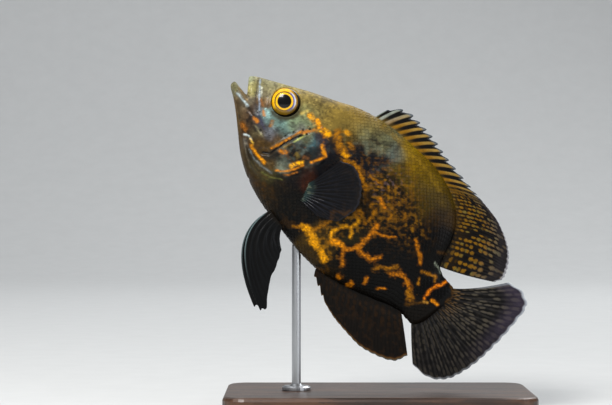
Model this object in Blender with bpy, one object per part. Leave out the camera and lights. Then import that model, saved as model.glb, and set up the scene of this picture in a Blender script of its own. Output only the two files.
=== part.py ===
"""Oscar fish (Astronotus ocellatus), a young adult, nose up to the left, on a plain display stand.

The fish is drawn in its own frame, in millimetres: x runs tailward from the snout, z towards the back fin, and y is
positive on its right side. Its left side faces -Y. to_world() then gives the tail its slight sweep, pitches the fish
up and sets it over the stand, in metres with +Z up and the origin at the middle of the stand's underside.
"""

import math

import bmesh
import bpy
import numpy as np
from mathutils import Vector

# Driving dimensions in millimetres and degrees
PITCH = 49.8  # nose up
TAIL_CLEARANCE = 9.0  # lowest tip of the tail fin above the stand's base
GAP = 0.3  # between nodes that meet
SWAY = 5.0  # how far the end of the tail fin sweeps to the left
SWAY_START = 90.0
TOTAL_LENGTH = 202.0  # snout to the tail fin's margin, for a standard length of 160

BASE_LENGTH, BASE_DEPTH, BASE_HEIGHT = 170.0, 96.0, 12.0
BASE_CORNER, BASE_EDGE = 12.0, 2.0
BASE_CENTRE_X = 73.3  # from the snout, along world X
ROD_RADIUS, ROD_X = 2.5, 28.0
FLANGE_RADIUS, FLANGE_HEIGHT = 8.0, 2.2

# Body sections: x, back, belly, half width
STATIONS = [
    (-3.8, -6.2, -7.0, 0.7),
    (-3.2, -3.8, -8.5, 2.7),
    (-1.5, 0.6, -9.7, 4.7),
    (0.5, 4.0, -10.6, 5.9),
    (4.0, 6.9, -12.3, 7.4),
    (10.0, 11.0, -15.9, 9.1),
    (19.0, 17.0, -22.0, 11.5),
    (30.0, 24.3, -29.2, 13.7),
    (41.0, 30.7, -34.0, 15.4),
    (52.0, 37.6, -36.9, 16.7),
    (61.0, 41.6, -38.2, 17.3),
    (72.0, 44.8, -38.7, 17.4),
    (90.0, 47.8, -39.3, 16.5),
    (104.0, 49.2, -38.3, 14.8),
    (117.0, 47.8, -34.6, 12.3),
    (127.0, 44.4, -30.6, 10.1),
    (135.0, 39.2, -26.6, 8.4),
    (141.0, 31.5, -23.6, 7.2),
    (145.0, 23.0, -21.4, 6.4),
    (149.0, 15.4, -19.4, 5.7),
    (155.0, 13.6, -17.9, 4.7),
    (161.0, 13.6, -17.9, 3.6),
    (164.5, 11.6, -15.9, 2.3),
    (166.5, 7.0, -11.0, 0.9),
]
WIDEST = 0.47  # height of the widest line, as a share of the section's depth
BACK_TAPER, BELLY_TAPER = 1.06, 0.9  # 1 gives an ellipse, less a fuller section
BODY_SIDES = 32
BODY_RINGS = 48

# Head
EYE_CENTRE = (24.3, 8.6)
EYE_RADIUS, EYE_BULGE, EYE_DEPTH = 8.0, 2.9, 4.6
LID_RADIUS, LID_THICKNESS = 8.5, 0.95
NOSTRIL = (11.2, 6.2)
NOSTRIL_RADIUS = 0.8
MOUTH_APEX = (7.8, -5.5)
MOUTH_CORNER = (13.4, -7.4)
JAW_HINGE = (21.6, -22.6)
UPPER_GAPE, LOWER_GAPE = (-0.2, 2.3), (-3.5, -5.0)
# Lips run in a U round the snout: front (x, z), corner (x, z), half width, radius at the front and at the corner
UPPER_LIP = ((2.6, 2.6), (12.4, -6.2), 8.9, 2.3, 1.3)
LOWER_LIP = ((-1.6, -6.9), (12.6, -8.0), 8.8, 2.3, 1.3)
MOUTH_HOLLOW = ((9.0, -5.0), (8.5, 6.0, 3.6))  # centre, half sizes

# Gill cover: front edge and rear edge from top to bottom, x and z
GILL_FRONT = [(44.0, 9.5), (41.5, 3.0), (39.3, -8.0), (37.6, -16.0), (33.5, -18.6), (27.0, -19.2)]
GILL_REAR = [(57.5, 11.4), (62.2, 4.0), (60.6, -6.5), (55.9, -15.4), (46.0, -21.9), (34.0, -23.0), (26.0, -21.6)]
GILL_RAISE = (0.2, 1.0)  # over the head at the front and rear edges
GILL_DEPTH = 0.9

# Thin cuts that part the body
NECK_X = 57.5
PEDUNCLE_X = 148.5

# Fins. Each guide ray is root, bend and tip, as (x, z) or (x, y, z) with y outward; s says where along the fin it is.
DORSAL_SPINES, DORSAL_RAYS = 13, 19
DORSAL_GUIDES = [
    (0.00, (61.8, 40.5), (62.2, 45.0), (63.3, 49.0)),
    (0.03, (64.5, 41.2), (65.5, 49.5), (67.9, 55.3)),
    (0.06, (68.0, 42.2), (70.2, 52.0), (73.9, 58.2)),
    (0.16, (81.5, 45.0), (85.0, 53.0), (90.4, 58.9)),
    (0.26, (96.5, 46.6), (100.8, 52.8), (106.7, 57.4)),
    (0.39, (115.5, 46.0), (122.5, 53.0), (131.6, 56.9)),
    (0.53, (125.0, 43.0), (136.5, 54.0), (147.0, 56.5)),
    (0.66, (132.5, 38.5), (146.0, 50.0), (158.5, 53.8)),
    (0.78, (138.0, 33.0), (151.0, 44.5), (167.5, 49.3)),
    (0.89, (142.5, 26.0), (155.5, 35.5), (174.2, 42.0)),
    (0.96, (145.5, 19.0), (158.0, 26.5), (176.2, 37.2)),
    (1.00, (147.5, 14.6), (160.0, 21.2), (174.5, 32.8)),
]
ANAL_SPINES, ANAL_RAYS = 3, 15
ANAL_GUIDES = [
    (0.00, (104.5, -36.6), (105.2, -39.0), (107.5, -41.4)),
    (0.07, (108.0, -35.4), (110.2, -39.6), (113.8, -43.6)),
    (0.15, (112.0, -34.2), (116.0, -40.5), (121.0, -46.0)),
    (0.35, (121.0, -31.2), (127.5, -40.5), (135.5, -48.0)),
    (0.55, (131.0, -26.6), (139.5, -38.0), (150.3, -47.6)),
    (0.75, (140.5, -21.9), (151.0, -33.5), (163.5, -43.4)),
    (0.90, (148.0, -18.0), (159.0, -27.0), (172.8, -36.6)),
    (1.00, (152.5, -16.4), (161.5, -21.8), (174.5, -30.2)),
]
CAUDAL_RAYS = 17
CAUDAL_GUIDES = [
    (0.00, (160.5, 11.4), (168.5, 17.5), (179.6, 38.6)),
    (0.06, (161.6, 9.8), (172.0, 18.5), (188.0, 41.2)),
    (0.14, (162.6, 7.9), (175.0, 16.5), (195.8, 38.3)),
    (0.25, (163.2, 5.4), (178.0, 12.0), (199.0, 27.0)),
    (0.40, (163.5, 2.0), (179.0, 5.0), (201.2, 11.0)),
    (0.55, (163.5, -2.0), (180.0, -3.0), (201.9, -2.5)),
    (0.72, (163.0, -6.6), (179.0, -10.5), (200.2, -17.0)),
    (0.86, (162.2, -10.6), (175.5, -17.0), (195.4, -26.0)),
    (0.94, (161.3, -13.0), (172.0, -21.5), (188.0, -30.3)),
    (1.00, (160.0, -15.2), (168.5, -22.8), (180.0, -31.2)),
]
PECTORAL_RAYS = 13
PECTORAL_ROOT = ((66.8, -10.5), (70.6, -19.6))
PECTORAL_ANGLES = (86.0, 4.0)  # of the first and last ray, up from the fish's axis
PECTORAL_LENGTHS = [(0.0, 21.0), (0.12, 26.0), (0.3, 29.5), (0.5, 30.5), (0.72, 28.0), (0.9, 20.5), (1.0, 12.0)]
PECTORAL_SPREAD = (0.5, 0.3)  # outward for each mm of length
PELVIC_RAYS = 6
PELVIC_GUIDES = [
    (0.00, (64.0, 5.2, -36.2), (58.0, 7.2, -64.5), (102.5, 10.5, -76.0)),
    (0.20, (66.2, 5.2, -36.4), (62.0, 7.4, -61.5), (104.0, 10.0, -73.0)),
    (0.42, (68.8, 5.0, -36.6), (66.0, 7.4, -57.0), (94.5, 9.5, -62.5)),
    (0.70, (71.8, 4.6, -36.7), (72.0, 6.6, -51.0), (88.6, 8.4, -51.5)),
    (1.00, (75.2, 4.0, -36.9), (77.5, 5.0, -42.5), (84.6, 6.2, -45.6)),
]
PELVIC_SHIFT = (-1.6, -1.2)  # how far the right fin's tips lie ahead of the left one's
MEMBRANE = 0.32  # half thickness
ROOT_THICKNESS = 1.35  # half thickness at the scaly root
RAY_RIDGE = 0.35  # how far a ray stands out of each face of the membrane
SPINE_NOTCH = 0.8  # height of the membrane between free spine tips


def smooth_through(knots, values, x):
    """Monotone cubic through the knots, so that no outline overshoots its points."""
    knots, values = np.asarray(knots, float), np.asarray(values, float)
    step = np.diff(knots)
    slope = np.diff(values) / step
    tangent = np.zeros_like(values)
    tangent[0], tangent[-1] = slope[0], slope[-1]
    for i in range(1, len(knots) - 1):
        if slope[i - 1] * slope[i] > 0:
            w1 = 2 * step[i] + step[i - 1]
            w2 = step[i] + 2 * step[i - 1]
            tangent[i] = (w1 + w2) / (w1 / slope[i - 1] + w2 / slope[i])
    x = np.clip(x, knots[0], knots[-1])
    i = np.clip(np.searchsorted(knots, x, side="right") - 1, 0, len(knots) - 2)
    t = (x - knots[i]) / step[i]
    return (
        values[i] * (1 + 2 * t) * (1 - t) ** 2
        + tangent[i] * step[i] * t * (1 - t) ** 2
        + values[i + 1] * t * t * (3 - 2 * t)
        + tangent[i + 1] * step[i] * t * t * (t - 1)
    )


STATION_X, STATION_TOP, STATION_BOTTOM, STATION_WIDTH = zip(*STATIONS)


def section(x):
    """Back, belly, half width and height of the widest line of the body at x."""
    top = smooth_through(STATION_X, STATION_TOP, x)
    bottom = smooth_through(STATION_X, STATION_BOTTOM, x)
    width = smooth_through(STATION_X, STATION_WIDTH, x)
    return top, bottom, width, bottom + WIDEST * (top - bottom)


def body_point(x, turn):
    """A point of the body's surface; turn is 0 on the back, 90 on the right side, 180 on the belly."""
    top, bottom, width, middle = section(x)
    s, c = math.sin(math.radians(turn)), math.cos(math.radians(turn))
    taper = BACK_TAPER if c > 0 else BELLY_TAPER
    height = top - middle if c > 0 else middle - bottom
    return x, math.copysign(width * abs(s) ** taper, s), middle + height * c


def body_side(x, z):
    """Half width of the body at x and z."""
    top, bottom, width, middle = section(x)
    up = z > middle
    height = top - middle if up else middle - bottom
    share = min(1.0, abs(z - middle) / height)
    return width * (1 - share * share) ** ((BACK_TAPER if up else BELLY_TAPER) / 2)


def sway(x):
    """Sideways sweep of the tail at x."""
    reach = max(0.0, x - SWAY_START) / (TOTAL_LENGTH - SWAY_START)
    return -SWAY * reach * reach


LOWEST = CAUDAL_GUIDES[8][3]  # the fin tip that hangs lowest
SIN, COS = math.sin(math.radians(PITCH)), math.cos(math.radians(PITCH))
SNOUT_X = -BASE_CENTRE_X
SNOUT_Z = BASE_HEIGHT + TAIL_CLEARANCE + LOWEST[0] * SIN - LOWEST[1] * COS


def to_world(point):
    """Fish frame in mm to world frame in metres."""
    x, y, z = point
    return Vector((
        (SNOUT_X + x * COS + z * SIN) / 1000,
        (y + sway(x)) / 1000,
        (SNOUT_Z - x * SIN + z * COS) / 1000,
    ))


def clear_scene():
    for item in list(bpy.data.objects):
        bpy.data.objects.remove(item, do_unlink=True)


def material(name, colour, roughness, metallic=0.0):
    made = bpy.data.materials.new(name)
    made.use_nodes = True
    shader = made.node_tree.nodes["Principled BSDF"]
    shader.inputs["Base Color"].default_value = (*colour, 1)
    shader.inputs["Roughness"].default_value = roughness
    shader.inputs["Metallic"].default_value = metallic
    return made


def new_object(name, points, faces):
    """A closed mesh object in the fish frame, its faces turned outward."""
    mesh = bpy.data.meshes.new(name)
    mesh.from_pydata([tuple(p) for p in points], [], faces)
    work = bmesh.new()
    work.from_mesh(mesh)
    bmesh.ops.recalc_face_normals(work, faces=work.faces)
    if work.calc_volume(signed=True) < 0:
        bmesh.ops.reverse_faces(work, faces=work.faces)
    work.to_mesh(mesh)
    work.free()
    made = bpy.data.objects.new(name, mesh)
    bpy.context.scene.collection.objects.link(made)
    return made


def apply_modifiers(target):
    graph = bpy.context.evaluated_depsgraph_get()
    mesh = bpy.data.meshes.new_from_object(target.evaluated_get(graph))
    target.modifiers.clear()
    target.data = mesh


def combine(target, others, operation):
    """Boolean of target with a collection of closed meshes, which are then removed."""
    group = bpy.data.collections.new("operands")
    bpy.context.scene.collection.children.link(group)
    for other in others:
        group.objects.link(other)
    step = target.modifiers.new("combine", "BOOLEAN")
    step.operation = operation
    step.operand_type = "COLLECTION"
    step.collection = group
    step.solver = "EXACT"
    apply_modifiers(target)
    for other in list(others):
        bpy.data.objects.remove(other, do_unlink=True)
    bpy.data.collections.remove(group)


def loose_parts(work):
    """The connected pieces of a bmesh, as lists of faces."""
    seen, parts = set(), []
    for face in work.faces:
        if face in seen:
            continue
        part, edge_of_search = [], [face]
        seen.add(face)
        while edge_of_search:
            current = edge_of_search.pop()
            part.append(current)
            for edge in current.edges:
                for neighbour in edge.link_faces:
                    if neighbour not in seen:
                        seen.add(neighbour)
                        edge_of_search.append(neighbour)
        parts.append(part)
    return parts


def keep_largest(target):
    """Leaves the closed surface with the largest box, so that no scrap or sealed hollow stays."""
    work = bmesh.new()
    work.from_mesh(target.data)
    bmesh.ops.remove_doubles(work, verts=work.verts, dist=1e-4)
    bmesh.ops.dissolve_degenerate(work, edges=work.edges, dist=1e-4)
    parts = loose_parts(work)
    if len(parts) > 1:
        largest = max(parts, key=lambda faces: sum(f.calc_area() for f in faces))
        scraps = [face for part in parts if part is not largest for face in part]
        bmesh.ops.delete(work, geom=scraps, context="FACES")
    work.to_mesh(target.data)
    work.free()


def ring_faces(rings, sides, closed_ends=True):
    """Faces of a tube of rings, each with the same number of points."""
    faces = []
    for i in range(rings - 1):
        for j in range(sides):
            k = (j + 1) % sides
            faces.append((i * sides + j, i * sides + k, (i + 1) * sides + k, (i + 1) * sides + j))
    if closed_ends:
        faces.append(tuple(range(sides)))
        faces.append(tuple((rings - 1) * sides + j for j in reversed(range(sides))))
    return faces


def ring_places():
    """x of the body's rings, closer together where the outline turns."""
    turning = [(-3.8, 0), (-1.5, 3), (4, 6), (19, 10), (61, 18), (104, 26), (135, 33), (149, 40), (161, 44), (166.5, 47)]
    places, counts = zip(*turning)
    return [float(np.interp(i, counts, places)) for i in range(BODY_RINGS)]


def body_mesh(name, grow=0.0):
    """The whole body as one loft. grow moves its surface outward."""
    points = []
    for x in ring_places():
        for j in range(BODY_SIDES):
            points.append(body_point(x, 360 * j / BODY_SIDES))
    made = new_object(name, points, ring_faces(BODY_RINGS, BODY_SIDES))
    if grow:
        swell(made, grow)
    return made


def prism(name, outline, half_depth):
    """An outline in x and z, extruded both ways along y."""
    count = len(outline)
    points = [(x, -half_depth, z) for x, z in outline] + [(x, half_depth, z) for x, z in outline]
    return new_object(name, points, ring_faces(2, count))


def slab(name, route, thickness, half_depth):
    """A thin upright wall along a route in x and z."""
    left, right = [], []
    for i, (x, z) in enumerate(route):
        x0, z0 = route[max(0, i - 1)]
        x1, z1 = route[min(len(route) - 1, i + 1)]
        along = Vector((x1 - x0, z1 - z0)).normalized()
        left.append((x - along.y * thickness / 2, z + along.x * thickness / 2))
        right.append((x + along.y * thickness / 2, z - along.x * thickness / 2))
    return prism(name, left + right[::-1], half_depth)


def ellipsoid(name, centre, sizes, segments, rings):
    """A closed ellipsoid with its poles on y."""
    points, faces = [], []
    points.append((centre[0], centre[1] - sizes[1], centre[2]))
    for i in range(1, rings):
        down = math.pi * i / rings
        for j in range(segments):
            turn = 2 * math.pi * j / segments
            points.append((
                centre[0] + sizes[0] * math.sin(down) * math.cos(turn),
                centre[1] - sizes[1] * math.cos(down),
                centre[2] + sizes[2] * math.sin(down) * math.sin(turn),
            ))
    points.append((centre[0], centre[1] + sizes[1], centre[2]))
    last = len(points) - 1
    for j in range(segments):
        k = (j + 1) % segments
        faces.append((0, 1 + j, 1 + k))
        for i in range(rings - 2):
            a, b = 1 + i * segments, 1 + (i + 1) * segments
            faces.append((a + j, b + j, b + k, a + k))
        a = 1 + (rings - 2) * segments
        faces.append((a + j, last, a + k))
    return new_object(name, points, faces)


def tube(name, path, radii, sides, axis=(0, 0, 1), closed=False):
    """A round tube along a path, turned about an axis that its run never meets; closed makes it a ring."""
    points = []
    count = len(path)
    for i, place in enumerate(path):
        here = Vector(place)
        before = Vector(path[(i - 1) % count if closed else max(0, i - 1)])
        after = Vector(path[(i + 1) % count if closed else min(count - 1, i + 1)])
        along = (after - before).normalized()
        side = along.cross(Vector(axis)).normalized()
        up = side.cross(along)
        for j in range(sides):
            turn = 2 * math.pi * j / sides
            points.append(here + radii[i] * (math.cos(turn) * side + math.sin(turn) * up))
    faces = ring_faces(count, sides, closed_ends=not closed)
    if closed:
        offset = (count - 1) * sides
        for j in range(sides):
            k = (j + 1) % sides
            faces.append((offset + j, offset + k, k, j))
    return new_object(name, points, faces)


def lip(name, shape):
    """A lip as a tapering roll in a U round the snout."""
    (front_x, front_z), (corner_x, corner_z), half_width, front_radius, corner_radius = shape
    path, radii = [], []
    steps = 18
    for i in range(steps + 1):
        turn = math.radians(-96 + 192 * i / steps)
        ahead = math.cos(turn)
        path.append((
            corner_x + (front_x - corner_x) * ahead,
            half_width * math.sin(turn),
            corner_z + (front_z - corner_z) * ahead,
        ))
        radii.append(corner_radius + (front_radius - corner_radius) * max(0.0, ahead))
    return tube(name, path, radii, 10)


def eye_place(side):
    x, z = EYE_CENTRE
    return x, side * (body_side(x, z) + EYE_BULGE - EYE_DEPTH), z


def eye(name, side, grow=0.0):
    """A flattened ball that stands a little out of the head."""
    sizes = (EYE_RADIUS + grow, EYE_DEPTH + grow, EYE_RADIUS + grow)
    return ellipsoid(name, eye_place(side), sizes, 24, 10)


def lid_ring(side):
    """The fold of skin round the eye."""
    path = []
    for i in range(24):
        turn = 2 * math.pi * i / 24
        x = EYE_CENTRE[0] + LID_RADIUS * math.cos(turn)
        z = EYE_CENTRE[1] + LID_RADIUS * math.sin(turn)
        path.append((x, side * (body_side(x, z) - 0.1), z))
    return tube("lid", path, [LID_THICKNESS] * 24, 6, axis=(0, 1, 0), closed=True)


def nostril_rim(side):
    path = []
    for i in range(10):
        turn = 2 * math.pi * i / 10
        x = NOSTRIL[0] + 1.3 * math.cos(turn)
        z = NOSTRIL[1] + 1.3 * math.sin(turn)
        path.append((x, side * (body_side(x, z) - 0.1), z))
    return tube("rim", path, [0.5] * 10, 6, axis=(0, 1, 0), closed=True)


def nostril_pit(side):
    """A small blind hole square to the snout."""
    x, z = NOSTRIL
    y = side * body_side(x, z)
    outward = Vector((-0.25, side * 0.8, 0.55)).normalized()
    middle = Vector((x, y, z))
    path = [middle - outward * 1.8, middle + outward * 2.5]
    return tube("pit", path, [NOSTRIL_RADIUS * 0.7, NOSTRIL_RADIUS], 8, axis=(1, 0, 0))


def polyline(points, share):
    """The point at a share of a polyline's length, smoothed through its corners."""
    points = np.array(points, float)
    steps = np.hypot(*np.diff(points, axis=0).T)
    knots = np.concatenate([[0], np.cumsum(steps)]) / steps.sum()
    return [float(smooth_through(knots, points[:, i], share)) for i in range(points.shape[1])]


def gill_cover(name, side):
    """The bony cover of the gills, a curved plate let into the side of the head."""
    across, down = 9, 13
    outer, inner = [], []
    for i in range(down + 1):
        front, rear = polyline(GILL_FRONT, i / down), polyline(GILL_REAR, i / down)
        for j in range(across + 1):
            share = j / across
            x = front[0] + (rear[0] - front[0]) * share
            z = front[1] + (rear[1] - front[1]) * share
            rim = i in (0, down) or j in (0, across)
            raised = GILL_RAISE[0] + (GILL_RAISE[1] - GILL_RAISE[0]) * share**2
            raised -= 0.25 if rim else 0
            y = body_side(x, z)
            outer.append((x, side * (y + raised), z))
            inner.append((x, side * (y - GILL_DEPTH), z))
    count, row = len(outer), across + 1
    faces = []
    for i in range(down):
        for j in range(across):
            a, b, c, d = i * row + j, i * row + j + 1, (i + 1) * row + j + 1, (i + 1) * row + j
            faces += [(a, b, c), (a, c, d), (count + c, count + b, count + a), (count + d, count + c, count + a)]
    border = list(range(across)) + [i * row + across for i in range(down)]
    border += [down * row + j for j in range(across, 0, -1)] + [i * row for i in range(down, 0, -1)]
    for a, b in zip(border, border[1:] + border[:1]):
        faces.append((b, a, count + a, count + b))
    return new_object(name, outer + inner, faces)


def swell(target, distance):
    """Moves every face of a closed mesh outward."""
    work = bmesh.new()
    work.from_mesh(target.data)
    work.normal_update()
    moved = [(v, v.co + v.normal * distance) for v in work.verts]
    for v, place in moved:
        v.co = place
    work.to_mesh(target.data)
    work.free()


def gill_recess(side):
    """The space that a gill cover and the gap round it take out of the head."""
    recess = gill_cover("recess", side)
    swell(recess, GAP * 1.5)
    outer = len(recess.data.vertices) // 2
    for vertex in recess.data.vertices[:outer]:
        vertex.co.y += side * 1.5
    return recess


def fin(name, guides, spines, rays, rows, side=0.0, root_thickness=ROOT_THICKNESS, ridge=RAY_RIDGE):
    """A fin's membrane and rays as one thin solid.

    Columns run from the root to the margin: one on each ray, where the solid is thicker, and one half way between
    neighbours. Between spines the margin is notched. Both faces have the same triangles.
    """
    guides = [(s, *[p if len(p) == 3 else (p[0], 0.0, p[1]) for p in (root, bend, tip)]) for s, root, bend, tip in guides]
    shares = [g[0] for g in guides]
    count = spines + rays
    columns = []
    for i in range(count):
        columns.append((i / (count - 1), True, 1.0))
        if i < count - 1:
            notched = SPINE_NOTCH if i < spines else 1.0
            columns.append(((i + 0.5) / (count - 1), False, notched))
    front, back = [], []
    for s, on_ray, reach in columns:
        root, bend, tip = [
            Vector([float(smooth_through(shares, [g[k][axis] for g in guides], s)) for axis in range(3)])
            for k in (1, 2, 3)
        ]
        for t in rows:
            along = t * reach
            place = root * (1 - along) ** 2 + bend * 2 * along * (1 - along) + tip * along**2
            thick = MEMBRANE + (root_thickness - MEMBRANE) * math.exp(-((t / 0.13) ** 2))
            thick += ridge * (1 - 0.75 * t) if on_ray else 0
            thick *= 1 - 0.35 * t**3
            out = place.y * (side if side else 1)
            front.append((place.x, out - thick, place.z))
            back.append((place.x, out + thick, place.z))
    total, row, last = len(front), len(rows), len(columns) - 1
    faces = []
    for i in range(last):
        for j in range(row - 1):
            a, b, c, d = i * row + j, i * row + j + 1, (i + 1) * row + j + 1, (i + 1) * row + j
            faces += [(a, b, c), (a, c, d), (total + c, total + b, total + a), (total + d, total + c, total + a)]
    border = list(range(row - 1)) + [i * row + row - 1 for i in range(last)]
    border += [last * row + j for j in range(row - 1, 0, -1)] + [i * row for i in range(last, 0, -1)]
    for a, b in zip(border, border[1:] + border[:1]):
        faces += [(b, a, total + a), (b, total + a, total + b)]
    return new_object(name, front + back, faces)


def pectoral_guides():
    """Rays that fan from a short root on the flank and spread away from it."""
    guides = []
    for i in range(7):
        s = i / 6
        x = PECTORAL_ROOT[0][0] + (PECTORAL_ROOT[1][0] - PECTORAL_ROOT[0][0]) * s
        z = PECTORAL_ROOT[0][1] + (PECTORAL_ROOT[1][1] - PECTORAL_ROOT[0][1]) * s
        angle = math.radians(PECTORAL_ANGLES[0] + (PECTORAL_ANGLES[1] - PECTORAL_ANGLES[0]) * s)
        length = float(smooth_through(*zip(*PECTORAL_LENGTHS), s))
        spread = PECTORAL_SPREAD[0] + (PECTORAL_SPREAD[1] - PECTORAL_SPREAD[0]) * s
        y = body_side(x, z) - 1.4
        bend = (x + 0.45 * length * math.cos(angle), y + 0.62 * spread * length + 1.2, z + 0.45 * length * math.sin(angle))
        tip = (x + length * math.cos(angle), y + spread * length, z + length * math.sin(angle))
        guides.append((s, (x, y, z), bend, tip))
    return guides


def pelvic_guides(side):
    """The left fin's rays, or the right one's with their tips a little further forward."""
    if side < 0:
        return PELVIC_GUIDES
    moved = []
    for s, root, bend, tip in PELVIC_GUIDES:
        tip = (tip[0] + PELVIC_SHIFT[0] * 2, tip[1], tip[2] + PELVIC_SHIFT[1] * 2)
        bend = (bend[0] + PELVIC_SHIFT[0], bend[1], bend[2] + PELVIC_SHIFT[1])
        moved.append((s, root, bend, tip))
    return moved


def make_body():
    """The flesh of head, trunk and tail in one piece, then parted with thin cuts."""
    body = body_mesh("body")
    pads = [lip("upper_lip", UPPER_LIP), lip("lower_lip", LOWER_LIP)]
    pads += [lid_ring(side) for side in (-1, 1)] + [nostril_rim(side) for side in (-1, 1)]
    combine(body, pads, "UNION")
    wedge_front = -12.0
    wedge = [MOUTH_APEX]
    for x, z in (UPPER_GAPE, LOWER_GAPE):
        share = (wedge_front - MOUTH_APEX[0]) / (x - MOUTH_APEX[0])
        wedge.append((wedge_front, MOUTH_APEX[1] + (z - MOUTH_APEX[1]) * share))
    (hollow_x, hollow_z), hollow_sizes = MOUTH_HOLLOW
    cutters = [prism("gape", wedge, 30.0), ellipsoid("hollow", (hollow_x, 0.0, hollow_z), hollow_sizes, 16, 8)]
    for side in (-1, 1):
        cutters.append(eye("socket", side, GAP))
        cutters.append(gill_recess(side))
        cutters.append(nostril_pit(side))
    combine(body, cutters, "DIFFERENCE")
    gape_middle = (-12.0, 3.1)
    below_hinge = (JAW_HINGE[0] + 2.6, JAW_HINGE[1] - 5.0)
    cuts = [
        slab("jaw_cut", [gape_middle, MOUTH_APEX, MOUTH_CORNER, JAW_HINGE, below_hinge], GAP, 30.0),
        slab("neck_cut", [(NECK_X, 60.0), (NECK_X, -60.0)], GAP, 30.0),
        slab("peduncle_cut", [(PEDUNCLE_X, 60.0), (PEDUNCLE_X, -60.0)], GAP, 30.0),
    ]
    combine(body, cuts, "DIFFERENCE")
    return body


def part_body(body):
    """Gives each loose piece of the cut body its own object, named by where it lies."""
    work = bmesh.new()
    work.from_mesh(body.data)
    bmesh.ops.remove_doubles(work, verts=work.verts, dist=1e-4)
    pieces = {}
    for part in loose_parts(work):
        if len(part) < 60:
            continue
        vertices = list({v for face in part for v in face.verts})
        middle = sum((v.co for v in vertices), Vector()) / len(vertices)
        number = {v: i for i, v in enumerate(vertices)}
        points = [v.co.copy() for v in vertices]
        faces = [tuple(number[v] for v in face.verts) for face in part]
        if middle.x > PEDUNCLE_X:
            name = "tail_peduncle"
        elif middle.x > NECK_X:
            name = "torso"
        elif min(p.z for p in points) > -32 and max(p.x for p in points) < 30:
            name = "lower_jaw"
        else:
            name = "head"
        pieces[name] = new_object(name, points, faces)
    work.free()
    bpy.data.objects.remove(body, do_unlink=True)
    return pieces


def make_fins():
    """Every fin, its root cut to the body's surface."""
    spiny_rows = (0, 0.1, 0.22, 0.45, 0.75, 1)
    soft_rows = (0, 0.08, 0.2, 0.42, 0.7, 1)
    long_rows = (0, 0.08, 0.18, 0.34, 0.5, 0.66, 0.82, 1)
    fins = [
        fin("dorsal_fin", DORSAL_GUIDES, DORSAL_SPINES, DORSAL_RAYS, spiny_rows),
        fin("anal_fin", ANAL_GUIDES, ANAL_SPINES, ANAL_RAYS, spiny_rows),
        fin("caudal_fin", CAUDAL_GUIDES, 0, CAUDAL_RAYS, soft_rows, root_thickness=1.1),
    ]
    for side, word in ((-1, "left"), (1, "right")):
        fins.append(fin(f"pectoral_fin_{word}", pectoral_guides(), 0, PECTORAL_RAYS, soft_rows, side, 1.2))
        fins.append(fin(f"pelvic_fin_{word}", pelvic_guides(side), 0, PELVIC_RAYS, long_rows, side, 1.2))
    for made in fins:
        combine(made, [body_mesh("clearance", GAP)], "DIFFERENCE")
        keep_largest(made)
    return fins


def place_in_world(target):
    for vertex in target.data.vertices:
        vertex.co = to_world(vertex.co)
    target.data.update()


def make_stand():
    """A flat base with rounded corners and a rod from its flange up to the belly."""
    outline = []
    half_x, half_y = BASE_LENGTH / 2 - BASE_CORNER, BASE_DEPTH / 2 - BASE_CORNER
    for corner, (cx, cy) in enumerate([(half_x, half_y), (-half_x, half_y), (-half_x, -half_y), (half_x, -half_y)]):
        for i in range(7):
            turn = math.radians(90 * corner + 15 * i)
            outline.append((cx, cy, math.cos(turn), math.sin(turn)))
    points = []
    profile = ((0.6, 0.0), (0.0, 0.6), (0.0, BASE_HEIGHT - BASE_EDGE))
    profile += ((0.3 * BASE_EDGE, BASE_HEIGHT - 0.3 * BASE_EDGE), (BASE_EDGE, BASE_HEIGHT))
    for inset, height in profile:
        for cx, cy, dx, dy in outline:
            reach = BASE_CORNER - inset
            points.append(((cx + dx * reach) / 1000, (cy + dy * reach) / 1000, height / 1000))
    base = new_object("stand_base", points, ring_faces(len(profile), len(outline)))

    foot = BASE_HEIGHT + GAP
    rod_top = SNOUT_Z - 60.0
    turned = [
        (FLANGE_RADIUS, foot),
        (FLANGE_RADIUS, foot + 0.6 * FLANGE_HEIGHT),
        (FLANGE_RADIUS - 1.2, foot + FLANGE_HEIGHT),
        (ROD_RADIUS + 1.2, foot + FLANGE_HEIGHT),
        (ROD_RADIUS, foot + FLANGE_HEIGHT + 1.2),
        (ROD_RADIUS, rod_top),
    ]
    sides = 24
    points = []
    for radius, height in turned:
        for j in range(sides):
            turn = 2 * math.pi * j / sides
            x = (SNOUT_X + ROD_X + radius * math.cos(turn)) / 1000
            points.append((x, radius * math.sin(turn) / 1000, height / 1000))
    rod = new_object("stand_rod", points, ring_faces(len(turned), sides))
    clearance = body_mesh("clearance", GAP)
    place_in_world(clearance)
    combine(rod, [clearance], "DIFFERENCE")
    keep_largest(rod)
    return base, rod


FLESH = ("head", "lower_jaw", "torso", "tail_peduncle", "gill_cover_left", "gill_cover_right")


def main():
    clear_scene()
    flesh = material("flesh", (0.17, 0.12, 0.03), 0.45)
    fin_skin = material("fin_skin", (0.06, 0.05, 0.05), 0.5)
    iris = material("iris", (0.45, 0.28, 0.03), 0.15)
    wood = material("dark_wood", (0.05, 0.03, 0.02), 0.4)
    steel = material("steel", (0.55, 0.55, 0.56), 0.3, 1.0)

    objects = list(part_body(make_body()).values())
    for side, word in ((-1, "left"), (1, "right")):
        objects.append(gill_cover(f"gill_cover_{word}", side))
        objects.append(eye(f"eye_{word}", side))
    objects += make_fins()
    for made in objects:
        keep_largest(made)
        place_in_world(made)
    objects += make_stand()

    for made in objects:
        if made.name in FLESH:
            look = flesh
        elif made.name.startswith("eye"):
            look = iris
        elif made.name == "stand_base":
            look = wood
        elif made.name == "stand_rod":
            look = steel
        else:
            look = fin_skin
        made.data.materials.clear()
        made.data.materials.append(look)
        made.data.shade_smooth()
        made.data.set_sharp_from_angle(angle=math.radians(40))
        made.data.calc_loop_triangles()
        print(made.name, len(made.data.loop_triangles))


main()
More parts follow.
